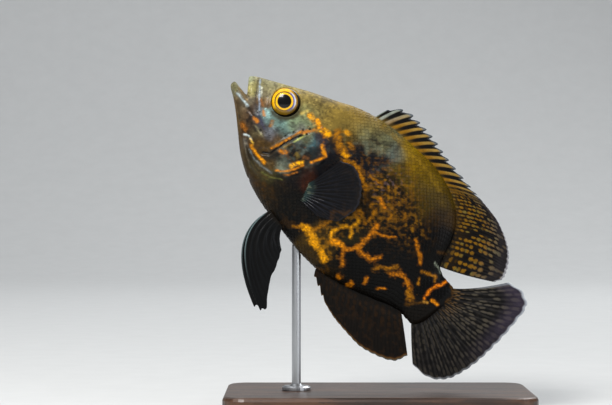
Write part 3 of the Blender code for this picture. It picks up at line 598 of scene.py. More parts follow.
# %% Strokes and dots of the body
YELLOW, ORANGE, GOLD = (222, 150, 6), (190, 112, 4), (166, 106, 6)
DIM_GOLD, PALE, BLACK = (96, 62, 10), (150, 158, 138), (3, 3, 3)
STROKES = [
    # width in pixels, colour on a screen, strength, route
    # the net on the belly
    (8.0, YELLOW, 1.0, [(303, 227), (309, 229), (312, 235), (316, 244), (321, 251), (324, 259)]),
    (3.4, GOLD, 0.8, [(293, 226), (302, 227)]), (5.4, YELLOW, 0.9, [(310, 230), (310, 238), (315, 246)]),
    (4.2, GOLD, 0.9, [
        (313, 230), (321, 226), (328, 222), (332, 217), (331, 212), (338, 212), (344, 214), (349, 210),
    ]),
    (4.0, YELLOW, 0.9, [(331, 237), (331, 232), (336, 229), (344, 226), (350, 228), (351, 232), (349, 237)]),
    (4.4, YELLOW, 0.9, [(350, 228), (354, 225), (358, 221)]),
    (6.4, (228, 142, 4), 1.0, [(333, 241), (339, 243), (343, 247)]),
    (4.6, ORANGE, 1.0, [(343, 248), (347, 250), (353, 248), (359, 246)]),
    (4.2, ORANGE, 1.0, [(343, 251), (341, 258), (342, 265)]),
    (5.0, ORANGE, 1.0, [(356, 247), (362, 243), (366, 238), (371, 233), (375, 228), (376, 225)]),
    (4.4, ORANGE, 0.9, [(357, 248), (361, 253), (366, 256), (370, 260), (374, 257), (379, 256)]),
    (3.0, ORANGE, 0.8, [(373, 231), (379, 234), (386, 237), (394, 236)]),
    (5.0, GOLD, 0.9, [(359, 212), (361, 214)]), (4.0, GOLD, 0.8, [(354, 213), (356, 216)]),
    (4.6, GOLD, 0.9, [(363, 222), (365, 223)]), (4.8, GOLD, 0.9, [(369, 219), (371, 217)]),
    (5.4, GOLD, 0.9, [(373, 213), (374, 210)]), (3.2, GOLD, 0.8, [(370, 206), (372, 203)]),
    (4.0, ORANGE, 0.85, [(379, 198), (381, 203), (384, 208)]), (2.8, GOLD, 0.8, [(387, 220), (391, 214)]),
    (3.2, GOLD, 0.7, [(404, 213), (404, 218)]),
    (2.6, DIM_GOLD, 0.6, [(408, 190), (412, 196), (410, 203)]),
    (3.4, DIM_GOLD, 0.8, [(316, 268), (324, 270), (322, 277)]),
    (3.2, DIM_GOLD, 0.6, [(326, 265), (328, 272)]), (10.0, BLACK, 0.75, [(351, 258), (350, 268)]),
    (9.0, BLACK, 0.75, [(373, 244), (386, 246)]), (8.0, BLACK, 0.6, [(344, 233), (340, 234)]),
    # the chain that runs to the tail
    (4.2, GOLD, 0.85, [(375, 268), (380, 266), (387, 268), (397, 266)]),
    (5.2, ORANGE, 0.9, [(391, 273), (400, 273), (405, 279), (408, 287)]),
    (8.4, GOLD, 0.9, [(408, 293), (410, 297)]),
    (3.4, DIM_GOLD, 0.8, [(405, 304), (415, 303), (422, 302)]),
    (4.0, ORANGE, 0.85, [(415, 240), (417, 249), (420, 256), (419, 264)]),
    (3.2, GOLD, 0.85, [(421, 271), (429, 274), (435, 276), (434, 281)]),
    (3.0, GOLD, 0.8, [(417, 283), (418, 278)]), (2.6, DIM_GOLD, 0.7, [(437, 252), (446, 254)]),
    # the ringed spot on the tail
    (13.0, BLACK, 1.0, [(439, 292), (445, 290)]),
    (3.4, (214, 116, 4), 1.0, [(424, 298), (428, 291), (434, 286), (441, 284), (446, 281)]),
    (3.4, (236, 142, 4), 1.0, [(431, 300), (437, 304)]),
    (3.0, (170, 120, 40), 0.8, [(423, 301), (427, 302)]),
    (3.4, DIM_GOLD, 0.9, [(446, 301), (452, 297), (453, 290), (451, 284)]),
    (1.8, PALE, 0.9, [(434, 263), (438, 268), (440, 273)]),
    # dots along the root of the anal fin
    (5.4, ORANGE, 0.9, [(338, 275), (339, 277)]), (5.6, ORANGE, 0.9, [(349, 285), (351, 283)]),
    (4.0, ORANGE, 0.85, [(367, 277), (364, 283)]), (3.0, ORANGE, 0.95, [(377, 288), (384, 288)]),
    (4.0, DIM_GOLD, 0.6, [(332, 285), (334, 286)]),
    # gold behind the gill cover
    (8.5, GOLD, 0.9, [(337, 134), (339, 146), (345, 156)]), (5.0, YELLOW, 0.7, [(346, 133), (347, 135)]),
    (5.5, GOLD, 0.8, [(349, 145), (351, 148)]), (5.5, YELLOW, 0.75, [(343, 155), (347, 158)]),
    (4.8, GOLD, 0.95, [(344, 162), (352, 163), (357, 168), (359, 175), (362, 181)]),
    (5.8, GOLD, 0.85, [(364, 186), (365, 190)]), (4.5, DIM_GOLD, 0.8, [(366, 195), (366, 200)]),
    (4.0, GOLD, 0.7, [(369, 177), (374, 180), (380, 184)]),
    # the back's golden edge under the dorsal fin
    (7.0, (132, 102, 24), 0.55, [(383, 127), (397, 139), (409, 152), (420, 164), (430, 176), (439, 190)]),
    # the head
    (3.4, (194, 118, 24), 0.9, [(264, 112), (265, 116)]),
    (4.6, (194, 118, 26), 0.9, [(254, 118), (258, 122)]),
    (6.0, (150, 90, 24), 0.8, [(242, 125), (246, 130)]),
    (4.6, (150, 96, 30), 0.8, [(273, 122), (271, 126)]),
    (3.0, (150, 92, 36), 0.7, [(262, 101), (263, 107)]),
    (4.6, (226, 154, 6), 0.95, [(309, 116), (313, 119)]),
    (4.6, (222, 142, 4), 0.95, [(317, 121), (319, 128)]),
    (7.4, (226, 154, 2), 0.95, [(323, 132), (328, 135)]),
    (3.0, (170, 104, 10), 0.8, [(322, 127), (324, 138)]),
    (3.6, (196, 168, 84), 0.7, [(301, 114), (307, 112)]),
    (2.6, (200, 122, 4), 0.95, [(272, 149), (280, 145), (290, 139), (299, 134), (303, 132)]),
    (4.2, (190, 112, 14), 0.8, [(304, 134), (309, 132), (314, 131)]),
    (2.0, (166, 172, 84), 0.8, [(294, 143), (299, 140), (305, 136)]),
    (4.6, (180, 108, 12), 0.9, [(281, 152), (286, 153)]),
    (2.6, (120, 92, 26), 0.8, [(285, 148), (292, 145)]),
    (4.6, (122, 100, 40), 0.8, [(297, 154), (298, 158)]),
    (4.0, (124, 78, 38), 0.8, [(304, 158), (308, 159)]),
    (5.0, (204, 128, 2), 0.9, [(322, 147), (324, 154)]),
    (2.6, (212, 130, 8), 0.95, [(325, 153), (326, 157), (319, 160), (311, 163)]),
    (5.0, (236, 164, 6), 0.95, [(291, 167), (296, 164), (302, 163)]),
    (2.4, (204, 124, 6), 0.9, [(276, 171), (284, 172), (294, 170), (303, 166)]),
    (1.7, (176, 104, 16), 0.9, [(284, 175), (290, 175), (297, 173)]),
    (4.0, (214, 136, 2), 0.95, [(252, 146), (256, 153), (261, 159), (265, 163)]),
    (2.2, (190, 204, 204), 0.9, [(244, 135), (249, 136), (252, 140)]),
    (1.8, (220, 176, 60), 0.9, [(251, 139), (254, 144)]),
    (2.4, (112, 118, 116), 0.8, [(250, 150), (255, 160), (263, 167), (272, 173)]),
    (1.5, (150, 144, 130), 0.8, [(239, 137), (241, 150), (245, 165)]),
    # painted shade in a fold of the throat
    (1.3, (20, 17, 14), 0.85, [(242, 138), (244, 150), (248, 164)]),
    (1.3, (128, 120, 100), 0.7, [(245, 142), (247, 156), (251, 168)]),
    # painted shade in a fold of the throat
    (1.3, (20, 17, 14), 0.8, [(247, 146), (250, 158), (258, 170), (272, 177)]),
    (1.6, (104, 104, 48), 0.8, [(262, 172), (272, 178), (282, 180)]),
    (2.6, (60, 58, 84), 0.7, [(259, 114), (262, 122), (265, 130)]),
    (1.6, (150, 146, 108), 0.7, [(256, 127), (259, 132), (263, 137)]),
    # lips and the fold behind them
    # painted highlight: the pale blue-white line along the lower lip
    (2.8, (178, 196, 200), 0.9, [(238, 94), (243, 100), (248, 107)]),
    (2.6, (150, 124, 84), 0.7, [(239, 88), (244, 95), (248, 101)]),
    # painted shade in the groove behind the upper lip
    (1.8, (46, 38, 44), 0.9, [(258, 79), (257, 92), (256, 104), (258, 110)]),
    (2.0, (140, 160, 180), 0.9, [(260, 80), (260, 92), (260, 103), (260, 111)]),
    (1.8, (206, 210, 196), 0.8, [(262, 88), (262, 97)]),
    # painted shade in the fold behind the lower lip
    (1.8, (30, 24, 18), 0.8, [(249, 109), (252, 112), (255, 116)]),
    (4.4, (150, 188, 184), 0.75, [(266, 110), (269, 116)]),
]
# the pores are painted black: painted shade in the pits pressed into the cheek
DOTS = [(286, 137), (294, 133), (303, 131), (310, 130), (307, 135), (261, 131)]  # black pores of the cheek


# %% Slit, sense organs and the spacing of the scales
SLIT = [(263, 153), (270, 154), (276, 150), (285, 144), (293, 140), (302, 136)]  # in front of the gill cover
# The line of sense organs as x and z on the fish: high along the flank, then along the middle of the tail
LATERAL_LINE = [
    [(60, 18), (72, 22), (88, 25), (104, 26), (118, 24), (128, 19)],
    [(118, 2), (134, -1), (160, -2)],
]
RING_STEP, ROW_STEP = 1.42, 2.75  # spacing of the scales in mm, along the body and round it
print("ground spots:", len(GROUND), "strokes:", len(STROKES), "pores:", len(DOTS))


# %% Laying one colour over another
def blend(under, share, colour):
    """Lays a colour over another, by a share from 0 to 1 at each point."""
    return under + (colour - under) * share[:, None]


def tinted(colour, *coats):
    """Lays coats one over another. Each is a share and a screen colour."""
    for share, tint in coats:
        colour = blend(colour, share, linear(*tint))
    return colour


def whole(count, tint):
    """One screen colour at every point."""
    return np.tile(linear(*tint), (count, 1))


# %% [markdown]
# ### The canvas
# A canvas holds the points to paint, their pixels in the photo, and the noise there. The marks sway a
# little and fray at their edges, more behind the gill cover than on the head. The right side takes its
# noise from another part of the table. Under the head the side's marks would stretch into smears, so that
# part fades to a plain chin. Each coat could work all this out again, but one object keeps it together.


# %% Canvas
RIGHT_SHIFT = 137.0  # pixels between the noise of the left side and of the right
LEFT_SWAY, RIGHT_SWAY = 3.6, 8.0  # how far the marks sway on each side, in pixels
COVER_LEAN, COVER_ROW = 0.45, 130  # how the gill cover's rear edge leans, and the row its columns are for


class Canvas:
    """Points of the fish with their places in the photo and the noise there."""

    def __init__(self, points):
        self.x, self.z = points[:, 0], points[:, 2]
        self.px, self.py = in_photo(self.x, self.z)
        self.right = points[:, 1] > 0
        self.noise_x = self.px + np.where(self.right, RIGHT_SHIFT, 0.0)
        sway = np.where(self.right, RIGHT_SWAY, LEFT_SWAY)
        self.sway_x, self.sway_y = (self.noise(9, 11, 3) - 0.5) * sway, (self.noise(9, 23, 3) - 0.5) * sway
        ragged = 1.5 + 1.1 * self.behind(318, 345)
        self.fray_x, self.fray_y = (self.noise(2.6, 31) - 0.5) * ragged, (self.noise(2.6, 47) - 0.5) * ragged
        self.mx, self.my = self.px + self.sway_x, self.py + self.sway_y
        self.fine, self.blotchy = self.noise(1.7, 53), self.noise(4.2, 57)
        self.grains, self.rosy = self.noise(3.4, 61), self.noise(2.8, 71)
        width, middle = section(self.x)[2:]
        aside = np.abs(points[:, 1]) / np.maximum(width, 1)
        beneath = ramp(aside, 0.62, 0.3) * ramp(self.z, middle, middle - 3)
        self.under = beneath * ramp(self.x, 62, 46) * ramp(self.x, 2, 5)

    def noise(self, size, seed, layers=2):
        """Noise of a size in pixels."""
        return layered_noise(self.noise_x, self.py, size, seed, layers)

    def behind(self, low, high):
        """From 0 to 1 between two columns of the photo, along a line that leans like the gill cover."""
        return ramp(self.px + COVER_LEAN * (self.py - COVER_ROW), low, high)

    def spot(self, x, y, wide, high):
        """1 at a place in the photo, falling off round it."""
        return np.exp(-(((self.mx - x) / wide) ** 2 + ((self.my - y) / high) ** 2))

    def near(self, route, width):
        """Which points lie close enough to a stroke to take its colour."""
        low, high = np.min(route, axis=0) - width - 8, np.max(route, axis=0) + width + 8
        return (self.mx > low[0]) & (self.mx < high[0]) & (self.my > low[1]) & (self.my < high[1])


# %% [markdown]
# ### Ground and mottle
# The ground is the mean of the nearest ground spots, with a grain. Over it lie the gold and black speckle
# of the flank, the grey flecks of the shoulder and the marbling of gill cover, cheek and breast. They are
# too many and too small to draw one by one, so noise makes them inside soft spots.


# %% Ground coat
def ground_colour(px, py):
    """The soft ground under the marks, in linear light."""
    total, weight = np.zeros((len(px), 3)), np.zeros(len(px))
    for x, y, reach, colour in GROUND:
        away = (px - x) ** 2 + (py - y) ** 2
        share = np.exp(-away / (2 * reach**2)) * (6 / reach) ** 1.5 + 1e-12 / (1 + away)
        total += share[:, None] * linear(*colour)
        weight += share
    return total / weight[:, None]


def ground_coat(canvas):
    """The ground with the plain chin and throat, and a fine and a broad grain."""
    chin = blend(linear(112, 90, 56), ramp(canvas.x, 8, 46), linear(52, 38, 16))
    colour = blend(ground_colour(canvas.mx, canvas.my), canvas.under, chin)
    return colour * (0.62 + 0.4 * canvas.fine + 0.36 * canvas.blotchy)[:, None]


# %% Mottle
def mottle_coat(canvas, colour):
    """Speckle, freckles, flecks and marbling, each inside its own soft spot."""
    spot, grains, rosy, blotchy = canvas.spot, canvas.grains, canvas.rosy, canvas.blotchy
    speckled = spot(386, 192, 24, 24) + spot(352, 222, 26, 15)
    speckled = np.clip(speckled + 0.9 * spot(412, 228, 14, 16) + 0.8 * spot(330, 246, 14, 14), 0, 1)
    flecks, patches = spot(372, 150, 26, 18), canvas.noise(6.0, 83, 3)
    freckled = np.clip(spot(368, 170, 24, 20) + spot(395, 215, 24, 26), 0, 1)
    freckles = ramp(canvas.noise(2.3, 131), 0.52, 0.64)
    cover = spot(296, 154, 22, 12)
    cheek = np.clip(spot(282, 130, 24, 8) + spot(250, 120, 10, 16), 0, 1)
    breast = np.clip(spot(262, 186, 16, 24) + 0.7 * spot(290, 222, 12, 10), 0, 1)
    colour = tinted(
        colour,
        (speckled * ramp(grains, 0.42, 0.3) * 0.85, (9, 8, 9)),
        (speckled * ramp(grains, 0.54, 0.66) * 0.85, (146, 98, 12)),
        (spot(386, 184, 18, 18) * ramp(rosy, 0.6, 0.75) * 0.6, (112, 92, 96)),
        (flecks * ramp(patches, 0.5, 0.36) * 0.8, (20, 20, 26)),
        (flecks * ramp(patches, 0.54, 0.7) * 0.5, (116, 120, 98)),
        (freckled * freckles * 0.6, (124, 80, 14)),
        (cover * ramp(blotchy, 0.52, 0.34) * 0.85, (20, 18, 16)),
        (cover * ramp(blotchy, 0.58, 0.74) * 0.6, (138, 150, 138)),
        (cover * ramp(rosy, 0.62, 0.76) * 0.6, (140, 86, 30)),
        (cheek * ramp(blotchy, 0.48, 0.28) * 0.7, (44, 42, 44)),
        (breast * ramp(blotchy, 0.5, 0.68) * 0.5, (84, 54, 8)),
    )
    shaded = 0.66 * spot(298, 156, 26, 14) + 0.5 * spot(250, 130, 11, 26) + 0.25 * spot(254, 92, 16, 16)
    brow = spot(325, 106, 50, 12) * ramp(rosy, 0.54, 0.36) * 0.5
    return tinted(colour * (1 - shaded)[:, None], (brow, (84, 70, 38)))


# %% [markdown]
# ### Strokes and fine lines
# A stroke is a band along its route. Its edge swells and shrinks with the noise, its middle is brighter,
# and the broad ones behind the gill cover have a speckled halo. The specks of the head, the row of sense
# organs, the pores of the cheek and the slit in front of the gill cover come last. The pores and the slit
# are painted dark as painted shade in their pits.


# %% Lay the strokes
def stroke_coat(canvas, colour):
    """Lays every stroke over the colour."""
    colour = colour.copy()
    for width, tint, strength, route in STROKES:
        near = canvas.near(route, width)
        if not near.any():
            continue
        fine, blotchy = canvas.fine[near], canvas.blotchy[near]
        steady = np.where(canvas.right[near], 1.0, 0.35)
        fray = min(1.0, width / 5)
        sx = canvas.px[near] + steady * canvas.sway_x[near] + canvas.fray_x[near] * fray
        sy = canvas.py[near] + steady * canvas.sway_y[near] + canvas.fray_y[near] * fray
        away = distance_to(sx, sy, route)
        loose = min(1.0, width / 6)
        swell = width / 2 - 0.1 + (blotchy - 0.5) * 2.2 * loose
        share = ramp(away, swell + 1.0, swell - 1.1) * (1 - (0.25 + 0.25 * loose) * ramp(fine, 0.54, 0.36))
        if width > 4 and route[0][0] > 295:
            halo = 0.45 * ramp(away, width / 2 + 3.4, width / 2 + 1.0)
            share = np.maximum(share, halo * ramp(canvas.grains[near], 0.58, 0.66))
        tone = 0.62 + 0.5 * ramp(away, swell + 0.6, 0.0) + 0.3 * (fine - 0.5)
        laid = (strength * share * (1 - canvas.under[near]))[:, None]
        colour[near] += (linear(*tint) * tone[:, None] - colour[near]) * laid
    return colour


# %% Lay the fine lines
def detail_coat(canvas, colour):
    """Specks of the head, the sense organs, the pores and the slit, over the colour."""
    head, side = canvas.behind(345, 325), 1 - canvas.under
    specks = canvas.noise(1.5, 101) * head
    colour = tinted(colour, (ramp(specks, 0.6, 0.74) * 0.45 * side, (50, 40, 26)))
    light_specks = ramp(canvas.noise(2.0, 107), 0.6, 0.76) * head
    colour = colour * (1 + 0.4 * light_specks * side)[:, None]
    for route in LATERAL_LINE:
        from_row = np.abs(canvas.z - np.interp(canvas.x, *zip(*route)))
        beside = ramp(from_row, 0.75, 0.35) * (canvas.x > route[0][0]) * (canvas.x < route[-1][0])
        tube = np.abs((canvas.x / (2 * RING_STEP)) % 1 - 0.5)
        colour = tinted(colour, (beside * ramp(tube, 0.36, 0.2) * 0.6, (14, 12, 10)))
    # painted shade in the pores of the cheek
    for x, y in DOTS:
        colour = tinted(colour, (ramp(np.hypot(canvas.px - x, canvas.py - y), 1.6, 0.7), BLACK))
    # painted shade in the slit in front of the gill cover
    from_slit = distance_to(canvas.px, canvas.py, SLIT)
    return tinted(colour, (ramp(from_slit, 1.5, 0.6), (6, 5, 5)))


# %% [markdown]
# ### All coats together
# An oscar's black is very deep. Soft light comes from all round in this pale studio and would lift it to
# grey. Darker colours in every list would also dull the gold, so a tone curve over the finished paint
# deepens its dark part and keeps the bright part.

# %% The body's paint
BRIGHTNESS = np.array([0.2126, 0.7152, 0.0722])  # how bright red, green and blue look
KEPT_ABOVE, DEEPEST = 0.42, 0.42  # brightness above which nothing changes, and what black is multiplied by


def deepen(colours):
    """Darkens the dark part of the paint, which light from all round would lift."""
    share = np.sqrt(np.clip(colours @ BRIGHTNESS / KEPT_ABOVE, 0, 1))
    return colours * (DEEPEST + (1 - DEEPEST) * share)[:, None]


def body_paint(points):
    """Colour of the body at points of the fish frame, in linear light."""
    canvas = Canvas(points)
    colour = stroke_coat(canvas, mottle_coat(canvas, ground_coat(canvas)))
    return deepen(np.clip(detail_coat(canvas, colour), 0.0006, 1))


def store_colour(piece, colours):
    """Keeps a colour on each of the mesh's points."""
    layer = piece.data.color_attributes.new(name="paint", type="FLOAT_COLOR", domain="POINT")
    data = np.ones((len(colours), 4), dtype=np.float32)
    data[:, :3] = colours
    layer.data.foreach_set("color", data.ravel())


sample = body_paint(np.array([[90.0, -16.0, 10.0]]))[0]
print("paint on the left flank:", np.round(sample, 3))

# %% [markdown]
# ## One skin over head, trunk and tail
# On the real fish one skin runs from lips to tail without a seam. A sheet is wrapped round the stations,
# then the rolls of the lips, the folds round the eyes, the rims of the nostrils and the gill covers are
# laid on it. A voxel remesh melts them into one closed skin with soft fillets, as flesh has, which plain
# joining would leave creased. The mouth, the eye sockets and the nostrils are cut out of that with a
# Boolean.

# %% Wrap a sheet round the stations
SKIN_RINGS, SKIN_SIDES = 260, 220
skin, along, around = new_grid("skin", SKIN_RINGS, SKIN_SIDES)
front_x, rear_x = STATIONS[0, 0], STATIONS[-1, 0]
x = front_x + (rear_x - front_x) * (along * 0.75 + 0.25 * along**2)  # the rings crowd toward the snout
write(skin, shell(x, 360 * around))
weld(skin)
print("wrapped skin:", triangles(skin), "triangles")

# %% [markdown]
# ### Lips, lids and nostril rims
# Each is a roll that follows the head. A torus is the natural start: its ring is bent to the route, and
# its round section is kept and scaled along it.


# %% Rolls from a torus
TUBE = 0.25  # thickness of the torus before it is bent


def roll(name, route, radius, segments=96, sides=14, lift=(0, 0, 1)):
    """A torus bent to a closed route. route and radius take the turn in radians."""
    deselect()
    counts = {"major_segments": segments, "minor_segments": sides}
    bpy.ops.mesh.primitive_torus_add(major_radius=1, minor_radius=TUBE, **counts)
    piece = bpy.context.object
    piece.name = name
    ring = read(piece)
    turn = np.arctan2(ring[:, 1], ring[:, 0])
    out = (np.hypot(ring[:, 0], ring[:, 1]) - 1) / TUBE
    up = ring[:, 2] / TUBE
    ahead = route(turn + 0.01) - route(turn - 0.01)
    ahead /= np.linalg.norm(ahead, axis=1)[:, None]
    outward = np.cross(np.array(lift, float), ahead)
    outward /= np.linalg.norm(outward, axis=1)[:, None]
    upward = np.cross(ahead, outward)
    write(piece, route(turn) + radius(turn)[:, None] * (out[:, None] * outward + up[:, None] * upward))
    weld(piece)
    return piece


# %% Lips
# Front and corner as x and z, half width, radius at the front and at the corner
UPPER_LIP = ((2.6, 2.6), (12.4, -6.2), 8.9, 2.3, 1.3)
LOWER_LIP = ((-1.6, -6.9), (12.6, -8.0), 8.8, 2.3, 1.3)


def lip(name, shape):
    """A U round the snout, closed inside the head."""
    (front_x, front_z), (corner_x, corner_z), half, front_radius, corner_radius = shape

    def route(turn):
        ahead = np.cos(turn)
        reach = np.where(ahead > 0, ahead, 0)
        inside = np.where(ahead < 0, -ahead, 0)
        return np.stack([
            corner_x + (front_x - corner_x) * reach + 3.0 * inside,
            half * np.sin(turn),
            corner_z + (front_z - corner_z) * reach,
        ], axis=1)

    def radius(turn):
        return corner_radius + (front_radius - corner_radius) * np.clip(np.cos(turn), 0, 1)

    return roll(name, route, radius, segments=128, sides=18)


# %% Lids and nostril rims
EYE_X, EYE_Z = 24.3, 8.6
EYE_RADIUS, EYE_DEPTH, EYE_BULGE = 8.0, 4.6, 2.9  # the ball's radius, half its thickness, its bulge
LID_RADIUS, LID_THICKNESS = 8.4, 0.9
NOSTRIL_X, NOSTRIL_Z = 11.2, 6.2
RIM_RADIUS, RIM_THICKNESS = 1.3, 0.5


def round_route(centre_x, centre_z, radius, side):
    """A ring on the side of the head."""

    def route(turn):
        x = centre_x + radius * np.cos(turn)
        z = centre_z + radius * np.sin(turn)
        return np.stack([x, side * (side_of(x, z) - 0.15), z], axis=1)

    return route


def even(radius):
    """The same radius all round."""
    return lambda turn: np.full_like(turn, radius)


parts = [lip("upper_lip", UPPER_LIP), lip("lower_lip", LOWER_LIP)]
for side in (-1, 1):
    lid = round_route(EYE_X, EYE_Z, LID_RADIUS, side)
    parts.append(roll("lid", lid, even(LID_THICKNESS), lift=(0, 1, 0)))
    rim = round_route(NOSTRIL_X, NOSTRIL_Z, RIM_RADIUS, side)
    parts.append(roll("rim", rim, even(RIM_THICKNESS), segments=32, sides=10, lift=(0, 1, 0)))
print("rolls:", [part.name for part in parts])

# %% [markdown]
# ### Gill covers
# The bony cover lies on the cheek like a shutter, flush in front and standing off at its free rear edge.
# It is a sheet stretched between a front edge and a rear edge, given its thickness by Solidify.

# %% Gill cover sheets
COVER_THICKNESS = 1.8
GILL_FRONT = [(44.0, 9.5), (41.5, 3.0), (39.3, -8.0), (37.6, -16.0), (33.5, -18.6), (27.0, -19.2)]
GILL_REAR = [
    (57.5, 11.4), (62.2, 4.0), (60.6, -6.5), (55.9, -15.4), (46.0, -21.9), (34.0, -23.0), (26.0, -21.6),
]


def along_route(points, share):
    """Places at shares of a route's length, rounded at its corners."""
    points = np.array(points, float)
    steps = np.hypot(*np.diff(points, axis=0).T)
    knots = np.concatenate([[0], np.cumsum(steps)]) / steps.sum()
    return np.stack([smooth_through(knots, points[:, k], share) for k in range(points.shape[1])], axis=-1)


for side in (-1, 1):
    cover, across, down = new_grid("gill_cover", 40, 56)
    front, rear = along_route(GILL_FRONT, down), along_route(GILL_REAR, down)
    x, z = (front + (rear - front) * across[:, None]).T
    raised = 0.15 + 0.85 * across**2
    write(cover, np.stack([x, side * (side_of(x, z) + raised), z], axis=1))
    face_outward(cover, flip=side > 0)
    modify(cover, "SOLIDIFY", thickness=COVER_THICKNESS, offset=0.0)
    moved = read(cover)
    moved[:, 1] -= side * COVER_THICKNESS / 2
    write(cover, moved)
    weld(cover)
    parts.append(cover)
print("gill covers:", [triangles(cover) for cover in parts[-2:]], "triangles")

# %% Melt them together
choose(*parts, skin)
bpy.ops.object.join()
modify(skin, "REMESH", mode="VOXEL", voxel_size=0.6)
print("melted skin:", triangles(skin), "triangles")

# %% [markdown]
# ### Opening the mouth, sockets and nostrils
# The mouth is a wedge between the lips with a hollow behind it. Each cutter starts as a primitive, and
# one Boolean takes them all out. A second remesh evens the mesh, and a light smoothing takes the stair
# steps off.

# %% The wedge of the open mouth
MOUTH_APEX = (7.8, -5.5)  # the corner of the mouth
GAPE_REACH = 22.0
UPPER_SLOPE, LOWER_SLOPE = math.atan2(7.8, -8.0), math.atan2(0.5, -11.3)  # of the two jaws from that corner


def from_apex(slope):
    """The wedge's edge in front of the snout, on this slope."""
    return MOUTH_APEX[0] + GAPE_REACH * math.cos(slope), MOUTH_APEX[1] + GAPE_REACH * math.sin(slope)


deselect()
bpy.ops.mesh.primitive_cylinder_add(vertices=3, radius=1, depth=60, rotation=(math.pi / 2, 0, 0))
wedge = bpy.context.object
bpy.ops.object.transform_apply(location=False, rotation=True, scale=False)
corners = read(wedge)
angle = np.round(np.degrees(np.arctan2(corners[:, 2], corners[:, 0]))).astype(int)
targets = dict(zip(sorted(set(angle)), (MOUTH_APEX, from_apex(UPPER_SLOPE), from_apex(LOWER_SLOPE))))
corners[:, 0] = [targets[a][0] for a in angle]
corners[:, 2] = [targets[a][1] for a in angle]
write(wedge, corners)
weld(wedge)
cutters = [wedge]
print("gape:", round(math.degrees(UPPER_SLOPE - LOWER_SLOPE) % 360), "degrees")


# %% Balls for the hollows
def ball(name, centre, sizes, segments=48, rings=24):
    """An ellipsoid with its poles to the sides."""
    deselect()
    counts = {"segments": segments, "ring_count": rings}
    bpy.ops.mesh.primitive_uv_sphere_add(radius=1, rotation=(math.pi / 2, 0, 0), **counts)
    piece = bpy.context.object
    bpy.ops.object.transform_apply(location=False, rotation=True, scale=False)
    piece.name = name
    write(piece, read(piece) * np.array(sizes) + np.array(centre))
    return piece


def eye_centre(side):
    """Middle of the eyeball, sunk so far that only the bulge stands out."""
    return EYE_X, side * (float(side_of(EYE_X, EYE_Z)) + EYE_BULGE - EYE_DEPTH), EYE_Z


SOCKET_GAP = 0.12  # between the eyeball and its socket
cutters.append(ball("hollow", (9.0, 0.0, -5.0), (8.5, 6.0, 3.6)))
for side in (-1, 1):
    socket = (EYE_RADIUS + SOCKET_GAP, EYE_DEPTH + SOCKET_GAP, EYE_RADIUS + SOCKET_GAP)
    cutters.append(ball("socket", eye_centre(side), socket))
    pit_y = side * (float(side_of(NOSTRIL_X, NOSTRIL_Z)) + 0.2)
    cutters.append(ball("pit", (NOSTRIL_X, pit_y, NOSTRIL_Z), (0.85, 1.9, 0.7), 16, 10))
print("cutters:", [cutter.name for cutter in cutters])

# %% Cut the openings
group = bpy.data.collections.new("cutters")
bpy.context.scene.collection.children.link(group)
for cutter in cutters:
    group.objects.link(cutter)
modify(skin, "BOOLEAN", operation="DIFFERENCE", operand_type="COLLECTION", collection=group, solver="EXACT")
for cutter in cutters:
    bpy.data.objects.remove(cutter, do_unlink=True)
modify(skin, "REMESH", mode="VOXEL", voxel_size=0.61)
modify(skin, "SMOOTH", factor=0.5, iterations=5)
print("cut skin:", triangles(skin), "triangles")

# %% [markdown]
# ### Folds and furrows
# Finer relief is pressed into the skin along its own normals: the slit in front of the gill cover, the
# pores of the cheek, the furrow behind the lip and the folds of the throat. Cutting them would leave
# sharp edges, and a bump in the finish would vanish at the outline, so the points themselves are moved.

# %% Furrows of cheek and jaw
FURROWS = [
    # depth in mm, width in pixels, route in the photo
    (0.75, 1.7, SLIT),
    (0.45, 1.8, [(258, 79), (257, 92), (256, 104), (259, 113)]),
    (0.35, 1.8, [(249, 110), (254, 116), (258, 126), (262, 132)]),
    (0.40, 1.6, [(242, 137), (244, 150), (248, 164), (256, 176)]),
    (0.40, 1.6, [(246, 142), (250, 154), (256, 165), (268, 174), (285, 178)]),
    (0.30, 2.0, [(302, 136), (312, 131), (320, 128)]),
]


def groove(away, width):
    """1 in the middle of a furrow, falling off beside it."""
    return np.exp(-((away / width) ** 2))


points, out = read(skin), normals(skin)
px, py = in_photo(points[:, 0], points[:, 2])
press = np.zeros(len(points))
for depth, width, route in FURROWS:
    away = distance_to(px, py, route)
    press -= depth * groove(away, width)
    press += 0.4 * depth * groove(away - 1.9 * width, width)  # the swelling beside it
for x, y in DOTS:
    press -= 0.45 * groove(np.hypot(px - x, py - y), 0.9)
press *= ramp(np.abs(out[:, 1]), 0.15, 0.4)
print("deepest furrow:", round(-press.min(), 2), "mm")

# %% Rim of the sockets
# A remesh leaves the rim a little ragged, so its points are drawn onto one even circle
from_eye = np.hypot(points[:, 0] - EYE_X, points[:, 2] - EYE_Z)
rim = (from_eye < LID_RADIUS) & (np.abs(points[:, 1]) > abs(eye_centre(1)[1]) - 1.5)
evened = (EYE_RADIUS + 0.14) / from_eye[rim]
points[rim, 0] = EYE_X + (points[rim, 0] - EYE_X) * evened
points[rim, 2] = EYE_Z + (points[rim, 2] - EYE_Z) * evened
print("points on the rims:", int(rim.sum()))

# %% Furrows below
# One inside each half of the jaw, and the fold where the gill membranes meet the chest
facing_down = ramp(-out[:, 2], 0.2, 0.5)
under_jaw = facing_down * ramp(points[:, 0], 3, 7) * ramp(points[:, 0], 40, 34)
jaw_line = 2.2 + 0.19 * (points[:, 0] - 5)
press -= 0.55 * under_jaw * groove(np.abs(points[:, 1]) - jaw_line, 0.7)
fold = 43 - 0.09 * points[:, 1] ** 2
press -= 0.5 * facing_down * ramp(np.abs(points[:, 1]), 12, 8) * groove(points[:, 0] - fold, 0.8)
write(skin, points + out * press[:, None])
print("relief from", round(press.min(), 2), "to", round(press.max(), 2), "mm")

